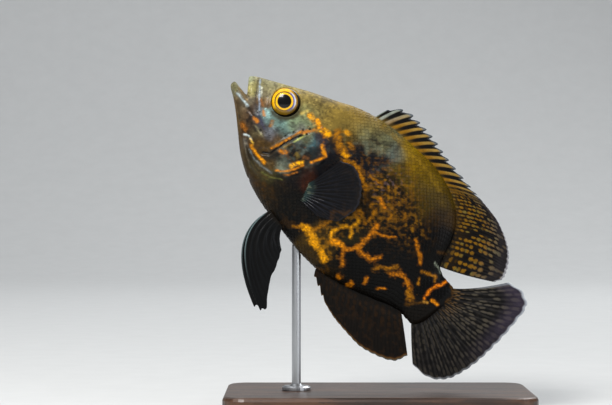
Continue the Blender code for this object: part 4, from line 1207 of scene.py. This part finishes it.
# %% Paint the skin
points = read(skin)
x, aside, z = points[:, 0], np.abs(points[:, 1]), points[:, 2]
colours = body_paint(points)
inside = (x > 2.5) & (x < 17) & (aside < 6.2) & (np.hypot((x - 9) / 8.7, (z + 5) / 3.8) < 1.04)
colours[inside] = linear(74, 40, 34)
from_eye = np.hypot(x - EYE_X, z - EYE_Z)
py = in_photo(x, z)[1]
colours = tinted(
    colours,
    # painted shadow: a dark band on the skin below the eye
    (0.85 * (ramp(py, 104, 114) * ramp(from_eye, 11.2, 9.2) * (aside > 5)), (50, 42, 22)),  # below the eye
    (0.7 * (ramp(py, 100, 92) * ramp(from_eye, 9.4, 8.2) * (aside > 5)), (150, 120, 30)),  # above it
    # painted shade: a dark ring in the rim of the socket, round the eyeball
    (ramp(from_eye, 8.2, 7.4) * (aside > 3), (20, 16, 10)),  # the socket
)
store_colour(skin, colours)
print("painted:", len(points), "points, of them inside the mouth:", int(inside.sum()))

# %% [markdown]
# ### The skin's finish
# Wet fish skin is a satin ground under a clear film of slime. The film is the shader's coat. Fine grain
# breaks the colour, and small rounded cells on the naked head stand for its tiny embedded scales.


# %% Skin material
def skin_finish(name, grain=0.12, cell=900, relief=0.25, film=0.1):
    """Painted skin. grain mottles it, cell and relief are the small bumps, film is how wet it looks."""
    nodes = Nodes(name)
    fine, broad = nodes.noise(900, 3, 0.6), nodes.noise(120, 3, 0.5)
    shade = (1 - grain) + fine * grain + broad * grain
    nodes.shade(Base_Color=nodes.shaded_paint(shade), Roughness=0.36 + nodes.noise(300) * 0.2)
    nodes.shade(Specular_IOR_Level=0.8 * film, Coat_Weight=film, Coat_Roughness=0.08)
    nodes.shade(Normal=nodes.bump(nodes.cells(cell) + fine * 0.4, relief, 0.0002))
    return nodes.material


skin.data.materials.clear()
skin.data.materials.append(skin_finish("wet_skin"))
print("material on the skin:", skin.data.materials[0].name)


# %% Settle the skin in the scene
def settle(piece, slot, *nodes):
    write(piece, to_world(read(piece)))
    choose(piece)
    bpy.ops.object.shade_smooth()
    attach(piece, "root")
    if nodes:
        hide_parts(*nodes)
    print(piece.name, triangles(piece), "triangles")


dressed = ("head", "lower_jaw", "torso", "tail_peduncle", "gill_cover_left", "gill_cover_right")
settle(skin, "fish_skin", *dressed)

# %% [markdown]
# ## Eyes
# The eye is a ball set deep in its socket and flattened outward, with a wet clear front. The iris is
# painted in rings round a pupil that sits a little ahead of the middle, since the fish looks where it
# swims.

# %% The iris
PUPIL_SHIFT = (-0.9, -0.25)
PUPIL_RADIUS = 3.75


def eye_paint(points):
    """Rings of the iris by distance from the pupil, in linear light."""
    count = len(points)
    dx = points[:, 0] - EYE_X - PUPIL_SHIFT[0]
    dz = points[:, 2] - EYE_Z - PUPIL_SHIFT[1]
    away, turn = np.hypot(dx, dz), np.arctan2(dz, dx)
    streak = layered_noise(turn * 14 + 50, away * 0.9, 1.0, 5)
    fray = (layered_noise(turn * 3 + 20, away * 0.6, 1.0, 8) - 0.5) * 0.5
    rim = away + fray * 0.6
    gold = tinted(whole(count, (224, 150, 4)), (streak, (255, 208, 26)))
    brown = tinted(whole(count, (70, 52, 30)), (streak, (128, 104, 60)))
    pearl = tinted(whole(count, (96, 104, 190)), (ramp(rim, 5.5, 6.0), (216, 220, 226)))
    outer = ramp(rim, 7.5, 7.0) * ramp(rim, 5.3, 5.8)
    toward_nape = 0.5 + 0.5 * np.cos(turn - math.radians(42))
    crescent = ramp(rim, 6.6, 6.1) * ramp(rim, 4.8, 5.2) * ramp(toward_nape, 0.62, 0.9)
    below = ramp(-np.sin(turn - PITCH), 0.3, 0.8)
    line = np.exp(-(((rim - 5.15) / 0.16) ** 2))
    colour = whole(count, (30, 22, 10))
    colour = tinted(colour, (ramp(rim, 7.6, 7.2), (96, 66, 16)), (ramp(rim, 6.6, 6.2), (60, 46, 30)))
    colour = blend(colour, ramp(rim, 6.7, 6.3), brown)
    colour = blend(colour, outer * (1 - 0.75 * ramp(toward_nape, 0.55, 0.9)), gold)
    colour = blend(colour, 0.9 * crescent, pearl)
    # Painted shade: the outer ring turns dark olive toward the bottom of the eye as the fish stands
    colour = tinted(colour, (outer * below * 0.85, (92, 72, 30)))
    colour = blend(colour, ramp(rim, 5.0, 4.75) * ramp(away, 3.8, 4.0), gold)
    pupil = ramp(away, PUPIL_RADIUS + 0.1, PUPIL_RADIUS - 0.1)
    return tinted(colour, (0.85 * line, (24, 16, 10)), (pupil, (2, 3, 4)))


# %% Eyes
eye_finish = Nodes("wet_eye")
eye_finish.shade(Base_Color=eye_finish.painted(), Roughness=0.25 + eye_finish.noise(500) * 0.08)
eye_finish.shade(Specular_IOR_Level=0.1, Coat_Weight=0.55, Coat_Roughness=0.02)
for side, word in ((-1, "left"), (1, "right")):
    eye = ball(f"oscar_eye_{word}", eye_centre(side), (EYE_RADIUS, EYE_DEPTH, EYE_RADIUS), 128, 96)
    store_colour(eye, eye_paint(read(eye)))
    eye.data.materials.append(eye_finish.material)
    settle(eye, "eye", f"eye_{word}")

# %% [markdown]
# ## Fins
# A fin is a thin double membrane held by rays. The front of the dorsal and anal fins has stiff spines
# with notches between them. Behind come soft rays, which are jointed and fork toward the margin. Each fin
# starts as a flat grid that is stretched over a few guide rays, and Solidify gives each point its own
# thickness, so the rays stand out.

# %% [markdown]
# ### Guide rays
# A guide is its share from the first ray to the last, then its root, its bend and its tip, as x and z on
# the fish or as x, y and z for the paired fins. The pectoral fin's guides are worked out from its root
# line and lengths.

# %% Guides of the single fins
DORSAL_SPINES, DORSAL_RAYS = 13, 19
DORSAL_GUIDES = [
    (0.00, (61.8, 40.5), (62.2, 45.0), (63.3, 49.0)),
    (0.03, (64.5, 41.2), (65.5, 49.5), (67.9, 55.3)),
    (0.06, (68.0, 42.2), (70.2, 52.0), (73.9, 58.2)),
    (0.16, (81.5, 45.0), (85.0, 53.0), (90.4, 58.9)),
    (0.26, (96.5, 46.6), (100.8, 52.8), (106.7, 57.4)),
    (0.39, (115.5, 46.0), (122.5, 53.0), (131.6, 56.9)),
    (0.53, (125.0, 43.0), (136.5, 54.0), (147.0, 56.5)),
    (0.66, (132.5, 38.5), (146.0, 50.0), (158.5, 53.8)),
    (0.78, (138.0, 33.0), (151.0, 44.5), (167.5, 49.3)),
    (0.89, (142.5, 26.0), (155.5, 35.5), (174.2, 42.0)),
    (0.96, (145.5, 19.0), (158.0, 26.5), (176.2, 37.2)),
    (1.00, (147.5, 14.6), (160.0, 21.2), (174.5, 32.8)),
]
ANAL_SPINES, ANAL_RAYS = 3, 15
ANAL_GUIDES = [
    (0.00, (104.5, -36.6), (105.2, -39.0), (107.5, -41.4)),
    (0.07, (108.0, -35.4), (110.2, -39.6), (113.8, -43.6)),
    (0.15, (112.0, -34.2), (116.0, -40.5), (121.0, -46.0)),
    (0.35, (121.0, -31.2), (127.5, -40.5), (135.5, -48.0)),
    (0.55, (131.0, -26.6), (139.5, -38.0), (150.3, -47.6)),
    (0.75, (140.5, -21.9), (151.0, -33.5), (163.5, -43.4)),
    (0.90, (148.0, -18.0), (159.0, -27.0), (172.8, -36.6)),
    (1.00, (152.5, -16.4), (161.5, -21.8), (174.5, -30.2)),
]
CAUDAL_RAYS = 17
CAUDAL_GUIDES = [
    (0.00, (160.5, 11.4), (168.5, 17.5), (179.6, 38.6)),
    (0.06, (161.6, 9.8), (172.0, 18.5), (188.0, 41.2)),
    (0.14, (162.6, 7.9), (175.0, 16.5), (195.8, 38.3)),
    (0.25, (163.2, 5.4), (178.0, 12.0), (199.0, 27.0)),
    (0.40, (163.5, 2.0), (179.0, 5.0), (201.2, 11.0)),
    (0.55, (163.5, -2.0), (180.0, -3.0), (201.9, -2.5)),
    (0.72, (163.0, -6.6), (179.0, -10.5), (200.2, -17.0)),
    (0.86, (162.2, -10.6), (175.5, -17.0), (195.4, -26.0)),
    (0.94, (161.3, -13.0), (172.0, -21.5), (188.0, -30.3)),
    (1.00, (160.0, -15.2), (168.5, -22.8), (180.0, -31.2)),
]
print("rays:", DORSAL_SPINES + DORSAL_RAYS, "dorsal", ANAL_SPINES + ANAL_RAYS, "anal", CAUDAL_RAYS, "caudal")

# %% Guides of the paired fins
PECTORAL_RAYS = 13
PECTORAL_ROOT = ((66.8, -10.5), (70.6, -19.6))  # its two ends, as x and z
PECTORAL_ANGLES = (86.0, 4.0)  # degrees of the first and the last ray
PECTORAL_SPREAD = (0.5, 0.3)  # how far they stand off the body, as a share of the length
PECTORAL_LENGTHS = [
    (0.0, 21.0), (0.12, 26.0), (0.3, 29.5), (0.5, 30.5), (0.72, 28.0), (0.9, 20.5), (1.0, 12.0),
]
PELVIC_RAYS = 6
PELVIC_GUIDES = [
    (0.00, (64.0, 5.2, -36.2), (58.0, 7.2, -64.5), (102.5, 10.5, -76.0)),
    (0.20, (66.2, 5.2, -36.4), (62.0, 7.4, -61.5), (104.0, 10.0, -73.0)),
    (0.42, (68.8, 5.0, -36.6), (66.0, 7.4, -57.0), (94.5, 9.5, -62.5)),
    (0.70, (71.8, 4.6, -36.7), (72.0, 6.6, -51.0), (88.6, 8.4, -51.5)),
    (1.00, (75.2, 4.0, -36.9), (77.5, 5.0, -42.5), (84.6, 6.2, -45.6)),
]
PELVIC_SHIFT = (-1.6, -1.2)  # the right fin's bends lie off the left one's by this, its tips by twice this


def pectoral_guides():
    """Seven guides fanned out over the pectoral fin's root line."""
    guides = []
    for i in range(7):
        s = i / 6
        x, z = (a + (b - a) * s for a, b in zip(*PECTORAL_ROOT))
        angle = math.radians(PECTORAL_ANGLES[0] + (PECTORAL_ANGLES[1] - PECTORAL_ANGLES[0]) * s)
        length = float(smooth_through(*zip(*PECTORAL_LENGTHS), s))
        spread = PECTORAL_SPREAD[0] + (PECTORAL_SPREAD[1] - PECTORAL_SPREAD[0]) * s
        y = float(side_of(x, z)) - 1.15
        across, up = length * math.cos(angle), length * math.sin(angle)
        bend = (x + 0.45 * across, y + 0.62 * spread * length + 1.2, z + 0.45 * up)
        guides.append((s, (x, y, z), bend, (x + across, y + spread * length, z + up)))
    return guides


def pelvic_guides(side):
    """The left fin's guides as they are, the right fin's trailing a little differently."""
    if side < 0:
        return PELVIC_GUIDES
    moved = []
    for s, root, bend, tip in PELVIC_GUIDES:
        tip = (tip[0] + PELVIC_SHIFT[0] * 2, tip[1], tip[2] + PELVIC_SHIFT[1] * 2)
        bend = (bend[0] + PELVIC_SHIFT[0], bend[1], bend[2] + PELVIC_SHIFT[1])
        moved.append((s, root, bend, tip))
    return moved


print("tip of the middle pectoral ray:", np.round(pectoral_guides()[3][3], 1), "mm")


# %% [markdown]
# ### Stretching a fin
# `s` is the share from the first ray to the last, `t` the share from root to margin. The thickness is a
# thin membrane, thicker at the root where flesh and scales climb it, with a rounded ridge on each ray. A
# soft ray forks at half its length and again near the margin.

# %% Rays and margin
SPINE_NOTCH = 0.8  # how far the membrane reaches between two spines


def ridges(s, t, spines, rays):
    """Height of the rays as a share, with forks on the soft ones."""
    count = spines + rays - 1
    place = s * count
    offset = place - np.round(place)
    soft = ramp(place, spines - 1.2, spines + 0.2) if spines else np.ones_like(s)
    spine = np.exp(-((offset / (0.20 - 0.08 * t)) ** 2)) * (1 - 0.35 * t)
    fork1 = 0.5 * 0.5 * ramp(t, 0.38, 0.75)
    fork2 = 0.5 * 0.25 * ramp(t, 0.72, 1.0)
    width = 0.15 - 0.075 * ramp(t, 0.3, 1.0)
    near = np.zeros_like(s)
    for first in (-1, 1):
        for second in (-1, 1):
            centre = first * fork1 + second * fork2
            near = np.maximum(near, np.exp(-(((offset - centre) / width) ** 2)))
    joint = ramp(np.abs(((t * 26 + 0.13 * np.round(place)) % 1) - 0.5), 0.38, 0.5)
    joints = 1 - 0.3 * joint * ramp(t, 0.2, 0.3)
    return spine * (1 - soft) + near * soft * joints * (1 - 0.3 * t)


def margin(s, spines, rays):
    """How far the membrane reaches: notched between spines, frilled between soft rays."""
    count = spines + rays - 1
    place = s * count
    gap = np.abs(place - np.round(place)) * 2
    behind = ((place % 1) > 0.0) & ((place % 1) < 0.5)
    notch = (1 - SPINE_NOTCH) * ramp(gap, 0.12, 0.9) * np.where(behind, 1.0, 0.75)
    frill = 0.012 * ramp(gap, 0.2, 1.0)
    soft = ramp(place, spines - 1.0, spines + 0.0) if spines else np.ones_like(s)
    return 1 - notch * (1 - soft) - frill * soft


# %% Build one fin
THINNEST, THICKEST = 0.16, 1.2  # half thickness in mm


def guided(guides, k, s):
    """Roots, bends or tips (k is 1, 2 or 3) at shares across the fin, between its guides."""
    shares = [guide[0] for guide in guides]
    flat = [guide[k] if len(guide[k]) == 3 else (guide[k][0], 0.0, guide[k][1]) for guide in guides]
    return np.stack([smooth_through(shares, [p[axis] for p in flat], s) for axis in range(3)], axis=1)


def fin(name, guides, spines, rays, paint, per_ray=10, rows=56, side=0.0, root=1.2, ridge=0.3):
    """A ribbed fin as one closed sheet. paint takes s, t, the ridge share and the points."""
    count = spines + rays - 1
    piece, s, t = new_grid(name, count * per_ray, rows)
    reach = (t * margin(s, spines, rays))[:, None]
    start, bend, tip = (guided(guides, k, s) for k in (1, 2, 3))
    points = start * (1 - reach) ** 2 + bend * 2 * reach * (1 - reach) + tip * reach**2
    if side:
        points[:, 1] *= side
    ridged = ridges(s, t, spines, rays)
    flesh = (root - THINNEST) * np.exp(-((t / 0.13) ** 2))
    thick = np.clip(THINNEST + flesh + ridge * ridged * (1 - 0.55 * t), THINNEST, THICKEST)
    thick *= 1 - 0.3 * t**4
    write(piece, points)
    store_colour(piece, paint(s, t, ridged, points))
    group = piece.vertex_groups.new(name="thickness")
    for i, share in enumerate(thick / THICKEST):
        group.add([i], float(share), "REPLACE")
    modify(piece, "SOLIDIFY", thickness=2 * THICKEST, offset=0.0, vertex_group="thickness", use_rim=True)
    piece.vertex_groups.clear()
    face_outward(piece)
    return piece


# %% [markdown]
# ### Fin colours
# The dorsal spines are gold at the root and fade to blue grey at their free tips, with dark membrane
# behind each. The soft dorsal fin is black with rows of gold checks between its rays, a dark grey outer
# band and a pale hem. The tail fin is nearly black with grey-brown dashes, a mauve upper tip and a pale
# hem. The anal fin is nearly black with a thin gold hem. The pectoral fins are smoky, with paler rays,
# and the pelvic fins black with a pale blue first ray. Each fin's root takes the body's paint, so that
# the marks run on into it.


# %% Checks between the rays
def checks(s, t, count, rows, seed):
    """Soft spots in rows between the rays, from 0 to 1."""
    place = s * count
    column, step = np.floor(place), t * rows + 0.5 * (np.floor(place) % 2)
    row = np.floor(step)
    tables = np.random.RandomState(seed).rand(3, 64, 64)
    chance, shift, size = tables[:, column.astype(int) % 64, row.astype(int) % 64]
    wide = np.abs((place % 1) - 0.5) / (0.26 + 0.22 * size)
    high = ((step % 1) - 0.5 + 0.3 * (shift - 0.5)) / (0.34 + 0.3 * chance)
    fray = 0.5 * (layered_noise(s * 160, t * 60, 1.0, seed + 1, 2) - 0.5)
    return ramp(np.hypot(wide, high) + fray, 1.0, 0.65) * ramp(chance, 0.08 + 0.2 * t, 0.3 + 0.25 * t)


def fin_fray(points, size, seed):
    """Noise over a fin, of a size in the photo's pixels."""
    return layered_noise(*in_photo(points[:, 0], points[:, 2]), size, seed)


# %% Dorsal fin's paint
def spiny_part(s, t, place, fray):
    """Bright spines on a dark membrane."""
    spine = tinted(
        whole(len(s), (168, 134, 62)),
        (ramp(t, 0.7, 0.25), (154, 108, 14)),
        (ramp(place, 3.0, 0.5), (150, 160, 150)),
        (ramp(t, 0.8, 0.95), (120, 132, 140)),
    )
    stripe = ramp(np.abs(place - np.round(place) + 0.05), 0.36 - 0.16 * t, 0.2 - 0.1 * t)
    colour = tinted(whole(len(s), (16, 14, 12)), (ramp(t, 0.4, 0.1) * 0.8, (96, 74, 22)))
    colour = blend(colour, stripe * (1 - 0.4 * fray), spine)
    return tinted(colour, (ramp(t, 0.86, 0.96) * 0.6, (84, 88, 92)))


def soft_part(s, t, count, ridged, fray):
    """Rows of gold checks on black, then the grey band and the hem."""
    spots, tint = checks(s, t, count, 12, 17), layered_noise(s * 60 + 9, t * 22, 1.0, 19, 1)
    return tinted(
        whole(len(s), (9, 6, 4)),
        (ramp(t, 0.4, 0.05) * 0.35, (72, 50, 8)),
        (spots * (0.9 - 0.3 * ramp(tint, 0.3, 0.7)), (140, 98, 12)),
        (spots * ramp(tint, 0.55, 0.8) * 0.7, (116, 104, 48)),
        (spots * ramp(t, 0.5, 0.85) * 0.75, (100, 94, 78)),
        (ramp(t, 0.72, 0.9) * (0.35 + 0.4 * fray), (48, 44, 48)),
        (ridged * 0.35 * ramp(t, 0.3, 0.8), (66, 62, 64)),
        (ramp(t, 0.97, 0.988) * (0.5 + 0.5 * fray), (176, 176, 182)),
    )


def dorsal_paint(s, t, ridged, points):
    """Spines in front, passing into the soft part."""
    count = DORSAL_SPINES + DORSAL_RAYS - 1
    place, fray = s * count, fin_fray(points, 3.0, 91)
    spiny, web = spiny_part(s, t, place, fray), soft_part(s, t, count, ridged, fray)
    colour = deepen(blend(spiny, ramp(place, 11.0, 15.0), web))
    return blend(colour, ramp(t, 0.16, 0.02) * 0.9, body_paint(points))


# %% Paint of the anal and the tail fin
def anal_paint(s, t, ridged, points):
    """Nearly black, with faint checks near the root and a gold hem."""
    fray = fin_fray(points, 3.0, 93)
    colour = tinted(
        whole(len(s), (16, 10, 5)),
        (ramp(fray, 0.5, 0.75) * 0.6, (52, 32, 10)),
        (checks(s, t, ANAL_SPINES + ANAL_RAYS - 1, 9, 23) * 0.3 * ramp(t, 0.7, 0.3), (70, 44, 12)),
        (ridged * 0.3, (38, 30, 22)),
        (ramp(t, 0.94, 0.965) * 0.8, (110, 70, 20)),
        (ramp(t, 0.975, 0.99) * 0.8, (84, 108, 104)),
    )
    return blend(deepen(colour), ramp(t, 0.2, 0.02) * 0.9, body_paint(points))


def caudal_paint(s, t, ridged, points):
    """Nearly black, with dashes between the forked rays, stronger on the upper lobe."""
    fray, upper = fin_fray(points, 3.2, 97), ramp(s, 0.7, 0.2)
    streaks = checks(s, t, 2 * (CAUDAL_RAYS - 1), 10, 29)
    colour = tinted(
        whole(len(s), (11, 10, 10)),
        (ramp(fray, 0.45, 0.75) * 0.6, (34, 30, 26)),
        (streaks * (0.28 + 0.38 * upper) * ramp(t, 0.06, 0.2), (98, 90, 76)),
        (streaks * ramp(t, 0.4, 0.15) * upper * 0.6, (120, 82, 20)),
        (ridged * (0.18 + 0.2 * fray), (84, 80, 78)),
        (ramp(t, 0.72, 0.92) * upper * (0.4 + 0.4 * fray), (68, 60, 78)),
        (ramp(t, 0.978, 0.99) * (0.35 + 0.4 * upper + 0.25 * fray), (190, 196, 204)),
        (ramp(s, 0.02, 0.006) * ramp(t, 0.4, 0.7) * 0.5, (150, 156, 164)),
    )
    return blend(deepen(colour), ramp(t, 0.16, 0.03) * 0.9, body_paint(points))


# %% Paint of the paired fins
def pectoral_paint(s, t, ridged, points):
    """Smoky, with a little of the body's marks as if seen through, and a blue-green base."""
    fray, base = fin_fray(points, 3.4, 99), ramp(t, 0.24, 0.05)
    colour = tinted(whole(len(s), (8, 8, 11)), (ramp(fray, 0.5, 0.8) * 0.5, (34, 28, 24)))
    colour = colour + (body_paint(points) - colour) * 0.16
    return deepen(tinted(
        colour,
        (ridged * (0.44 - 0.3 * t) * (0.6 + 0.4 * ramp(s, 0.4, 0.9)), (62, 68, 88)),
        (base * 0.9, (40, 62, 60)),
        (base * ramp(fray, 0.55, 0.7) * 0.6, (112, 118, 96)),
        (ramp(t, 0.965, 0.99) * 0.5, (60, 62, 72)),
    ))


def pelvic_paint(s, t, ridged, points):
    """Black with paler rays and a pale blue first ray."""
    first = ramp(s, 0.05, 0.015) * ramp(t, 0.9, 0.3) * ramp(t, 0.02, 0.08)
    return deepen(tinted(
        whole(len(s), (7, 7, 8)),
        (ridged * 0.35, (34, 38, 42)),
        (first * 0.85, (118, 138, 140)),
        (ramp(t, 0.1, 0.02), (24, 18, 10)),
    ))


# %% [markdown]
# ### The fins' finish and the seven fins
# Fin membrane is moist but less glossy than the skin. Each fin could have a finish of its own, but they
# are one kind of skin, so one finish serves all seven and only their paint differs.


# %% Fin material
def fin_finish(name, gloss=0.08):
    """Painted membrane with a fine grain and a thin wet film."""
    nodes = Nodes(name)
    fine = nodes.noise(1400, 2, 0.6)
    nodes.shade(Base_Color=nodes.shaded_paint(0.86 + fine * 0.28), Roughness=0.4 + fine * 0.2)
    nodes.shade(Specular_IOR_Level=0.08, Coat_Weight=gloss, Coat_Roughness=0.15)
    nodes.shade(Normal=nodes.bump(fine, 0.2, 0.0001))
    return nodes.material


# %% Build the fins
fin_skin = fin_finish("fin_membrane")
fins = [
    ("dorsal_fin", fin("oscar_dorsal", DORSAL_GUIDES, DORSAL_SPINES, DORSAL_RAYS, dorsal_paint)),
    ("anal_fin", fin("oscar_anal", ANAL_GUIDES, ANAL_SPINES, ANAL_RAYS, anal_paint)),
    ("caudal_fin", fin("oscar_caudal", CAUDAL_GUIDES, 0, CAUDAL_RAYS, caudal_paint, 16, 64, root=1.0)),
]
for side, word in ((-1, "left"), (1, "right")):
    guides = pectoral_guides()
    made = fin(f"oscar_pectoral_{word}", guides, 0, PECTORAL_RAYS, pectoral_paint, 12, 48, side, 1.0, 0.22)
    fins.append((f"pectoral_fin_{word}", made))
    guides = pelvic_guides(side)
    made = fin(f"oscar_pelvic_{word}", guides, 0, PELVIC_RAYS, pelvic_paint, 14, 72, side, 1.1, 0.3)
    fins.append((f"pelvic_fin_{word}", made))
for node, made in fins:
    made.data.materials.append(fin_skin)
    settle(made, "fin_skin", node)

# %% [markdown]
# ## The coat of scales
# Oscars have comb-edged scales laid like roof tiles: each grows from a pocket and its free rear edge
# covers the next two. About 38 lie along the flank. One scale is a small grid whose rim is turned down
# and closed below. An array repeats it, and each copy is laid on the body in rings half a step apart,
# bent to the curve, front edge sunk and rear edge raised. They take the skin's paint point by point, so
# the pattern runs through them.

# %% Where scales grow
COAT_START = [  # height z on the fish, and the x where the coat begins at that height
    (-60.0, 46.0), (-38.0, 44.0), (-22.0, 50.0), (-15.0, 58.0), (-5.0, 63.0),
    (8.0, 64.0), (14.0, 59.0), (30.0, 47.0), (45.0, 45.0), (60.0, 45.0),
]
FIRST_RING, COAT_END = 44, 162.5  # x in mm
LOOSE_TURN, LOOSE_RING = 0.09, 0.1  # how far a scale may lie off its place, round the body and along it
SEAM = 0.9  # bare strip on each side of the back's and the belly's middle line
GROWING = 11.0  # the coat rises to its full height over this length


def scale_places(side):
    """Ring x, turn in degrees, random number and growth from 0 to 1 of each scale on one side."""
    places = []
    turns = np.linspace(0.0, 180.0, 721)
    random = np.random.RandomState(41 + side)
    for ring in range(int((COAT_END - FIRST_RING) / RING_STEP)):
        x = FIRST_RING + ring * RING_STEP
        line = shell(np.full_like(turns, x), turns)
        arc = np.concatenate([[0], np.cumsum(np.linalg.norm(np.diff(line, axis=0), axis=1))])
        middle = np.interp(90.0, turns, arc)
        low, high = int(-middle / ROW_STEP) - 1, int((arc[-1] - middle) / ROW_STEP) + 1
        for row in range(low, high + 1):
            at = middle + (row + 0.5 * (ring % 2)) * ROW_STEP + random.uniform(-LOOSE_TURN, LOOSE_TURN)
            if at < SEAM or at > arc[-1] - SEAM:
                continue
            turn = np.interp(at, arc, turns)
            z = np.interp(turn, turns, line[:, 2])
            start = np.interp(z, *zip(*COAT_START))
            if x > start:
                shift, chance = random.uniform(-LOOSE_RING, LOOSE_RING), random.rand()
                grown = min(1.0, (x - start) / GROWING)
                places.append((x + shift, turn if side > 0 else 360 - turn, chance, grown))
    return np.array(places)


# %% [markdown]
# ### One scale
# The grid is the scale's face. Its rim is pushed down and closed below, so each scale is a small closed
# body. Seen from above it is rounded behind and tapers a little in front, where it sits in its pocket. A
# bump in the finish could hint at scales, but only real ones catch the light along their free edges.


# %% One scale
SCALE_LENGTH, SCALE_WIDTH = 3.7, 3.3
SCALE_LIFT, SCALE_ROOT, SCALE_FOOT = 0.24, -0.2, -0.42  # height of free edge, front edge and underside


def scale_body(name):
    """A small grid with its rim pushed down and closed below."""
    piece = new_grid(name, 6, 5)[0]
    choose(piece)
    bpy.ops.object.mode_set(mode="EDIT")
    bpy.ops.mesh.select_mode(type="EDGE")
    bpy.ops.mesh.select_all(action="SELECT")
    bpy.ops.mesh.region_to_loop()
    bpy.ops.mesh.extrude_region_move(TRANSFORM_OT_translate={"value": (0, 0, -0.2)})
    bpy.ops.mesh.edge_face_add()
    bpy.ops.mesh.select_mode(type="VERT")
    face_outward(piece)
    return piece


def scale_form(template):
    """Places across and along the scale, height, shares across and along, and which points lie below."""
    u, v, low = template[:, 0] * 2, template[:, 1] + 0.5, template[:, 2] < -0.1
    v = 1 - (1 - v) ** 1.7  # the rows of the grid crowd toward the free edge
    past = np.clip((v - 0.4) / 0.6, 0, 1)
    front = 0.84 + 0.16 * np.sin(np.clip(v / 0.4, 0, 1) * math.pi / 2)
    rounded = np.maximum(0.3, np.clip(1 - past**2.6, 0, 1) ** 0.385) * front
    along = (v * (0.9 + 0.08 * (1 - u**2)) - 0.35) * SCALE_LENGTH
    rise = SCALE_ROOT + (SCALE_LIFT - SCALE_ROOT) * v - 0.09 * u**2 * (0.4 + 0.6 * v)
    edge = np.maximum(np.abs(u), np.abs(v * 2 - 1)) > 0.99
    rise = np.where(low, SCALE_FOOT, np.where(edge, rise - 0.03, rise))
    return u * rounded * SCALE_WIDTH / 2, along, rise, u, v, low


# %% [markdown]
# ### Laying the scales on
# Every scale is bent over the body at its own place. It also gets a tone of its own, and painted shade on its
# front edge, its sides and its underside, so that neighbours stand apart. The last function gives every
# scale a place of its own on a flat map, in rows as on the fish.


# %% Laid on the body
def lay_scales(places, across, along, rise):
    """Points of all scales, one row for each scale."""
    x0, turn0, _, grown = (places[:, k][:, None] for k in range(4))
    x = x0 + along[None, :]
    per_degree = np.linalg.norm(shell(x0, turn0 + 0.5) - shell(x0, turn0 - 0.5), axis=-1)
    turn = turn0 + across[None, :] / per_degree
    base = shell(x, turn)
    out = np.cross(shell(x + 0.2, turn) - shell(x - 0.2, turn), shell(x, turn + 0.4) - shell(x, turn - 0.4))
    out /= np.linalg.norm(out, axis=-1)[..., None] + 1e-9
    flip = np.sign(out[..., 1] * base[..., 1] + out[..., 2] * (base[..., 2] - section(x)[3]))
    out *= np.where(flip == 0, 1, flip)[..., None]
    return base + out * np.where(rise > 0, rise * grown, rise)[..., None]


def scale_shade(chance, u, v, low):
    """Light and shade of each scale: its own tone, a darker front edge, sides and underside."""
    shade = 0.9 + 0.28 * chance[:, None]
    # painted shade: darker toward the front edge, on the underside and at the sides
    shade = shade * (0.86 + 0.26 * np.clip(v, 0, 1)[None, :] ** 1.5)
    return shade * np.where(low, 0.7, 1.0)[None, :] * (1 - 0.1 * (np.abs(u)[None, :] ** 3))


def spread_flat(piece, places, count, u, v):
    """A flat map of the scales by ring and turn. count is the number of points of one scale."""
    layer = piece.data.uv_layers.new(name="OFBake")
    corner = np.empty(len(piece.data.loops), dtype=np.int32)
    piece.data.loops.foreach_get("vertex_index", corner)
    which, inner = corner // count, corner % count
    flat_u = 0.02 + 0.95 * (places[which, 0] - 40) / 130 + 0.003 * (v[inner] - 0.5)
    flat_v = 0.01 + 0.97 * (places[which, 1] / 360) + 0.003 * u[inner] / 2
    layer.data.foreach_set("uv", np.stack([flat_u, flat_v], axis=1).astype(np.float32).ravel())


# %% The coat in four patches
COAT_SPLIT = 104.0  # x where the front patch ends and the rear one begins


def coat_of_scales(name, places):
    """One patch of the coat: a scale repeated by Array, laid on, painted and mapped."""
    piece = scale_body(name)
    template = read(piece)
    modify(piece, "ARRAY", count=len(places), relative_offset_displace=(1.5, 0, 0))
    across, along, rise, u, v, low = scale_form(template)
    flat = lay_scales(places, across, along, rise).reshape(-1, 3)
    write(piece, flat)
    shade = scale_shade(places[:, 2], u, v, low).reshape(-1, 1)
    store_colour(piece, np.clip(body_paint(flat) * shade, 0, 1))
    spread_flat(piece, places, len(template), u, v)
    face_outward(piece)
    print(name, len(places), "scales")
    return piece


scale_finish = skin_finish("scale_horn", grain=0.10, cell=2600, relief=0.12, film=0.085)
for side, word in ((-1, "left"), (1, "right")):
    places = scale_places(side)
    for end, chosen in (("front", places[:, 0] < COAT_SPLIT), ("rear", places[:, 0] >= COAT_SPLIT)):
        coat = coat_of_scales(f"scales_{word}_{end}", places[chosen])
        coat.data.materials.append(scale_finish)
        settle(coat, "fish_skin")

# %% [markdown]
# ## The stand
# The base is dark oiled wood with long grain and the rod is brushed steel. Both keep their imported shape,
# so they only need a finish.

# %% Stand finishes
wood = Nodes("dark_walnut")
stretched = wood.add("ShaderNodeMapping", None, {"Vector": wood.place(), "Scale": (7, 60, 60)})
year_rings, pores = wood.noise(3.0, 6, 0.62, stretched), wood.noise(30.0, 3, 0.7, stretched)
grain_colour = wood.mix(year_rings.clipped(0.38, 0.62), linear(44, 26, 15), linear(82, 52, 31))
wood.shade(Base_Color=wood.mix(pores.clipped(0.55, 0.7), grain_colour, linear(28, 17, 10)))
wood.shade(Roughness=0.34 + pores * 0.2, Coat_Weight=0.25, Coat_Roughness=0.2)
wood.shade(Normal=wood.bump(pores, 0.2, 0.0002))
steel = Nodes("brushed_steel")
lined = steel.add("ShaderNodeMapping", None, {"Vector": steel.place(), "Scale": (900, 900, 25)})
brush = steel.noise(1.0, 3, 0.6, lined)
steel.shade(Base_Color=steel.mix(brush, linear(150, 152, 155), linear(196, 198, 201)), Metallic=1.0)
steel.shade(Roughness=0.24 + brush * 0.16, Normal=steel.bump(brush, 0.08, 0.0001))
for node, coating in (("stand_base", wood), ("stand_rod", steel)):
    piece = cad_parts[node]
    piece.data.materials.clear()
    piece.data.materials.append(coating.material)
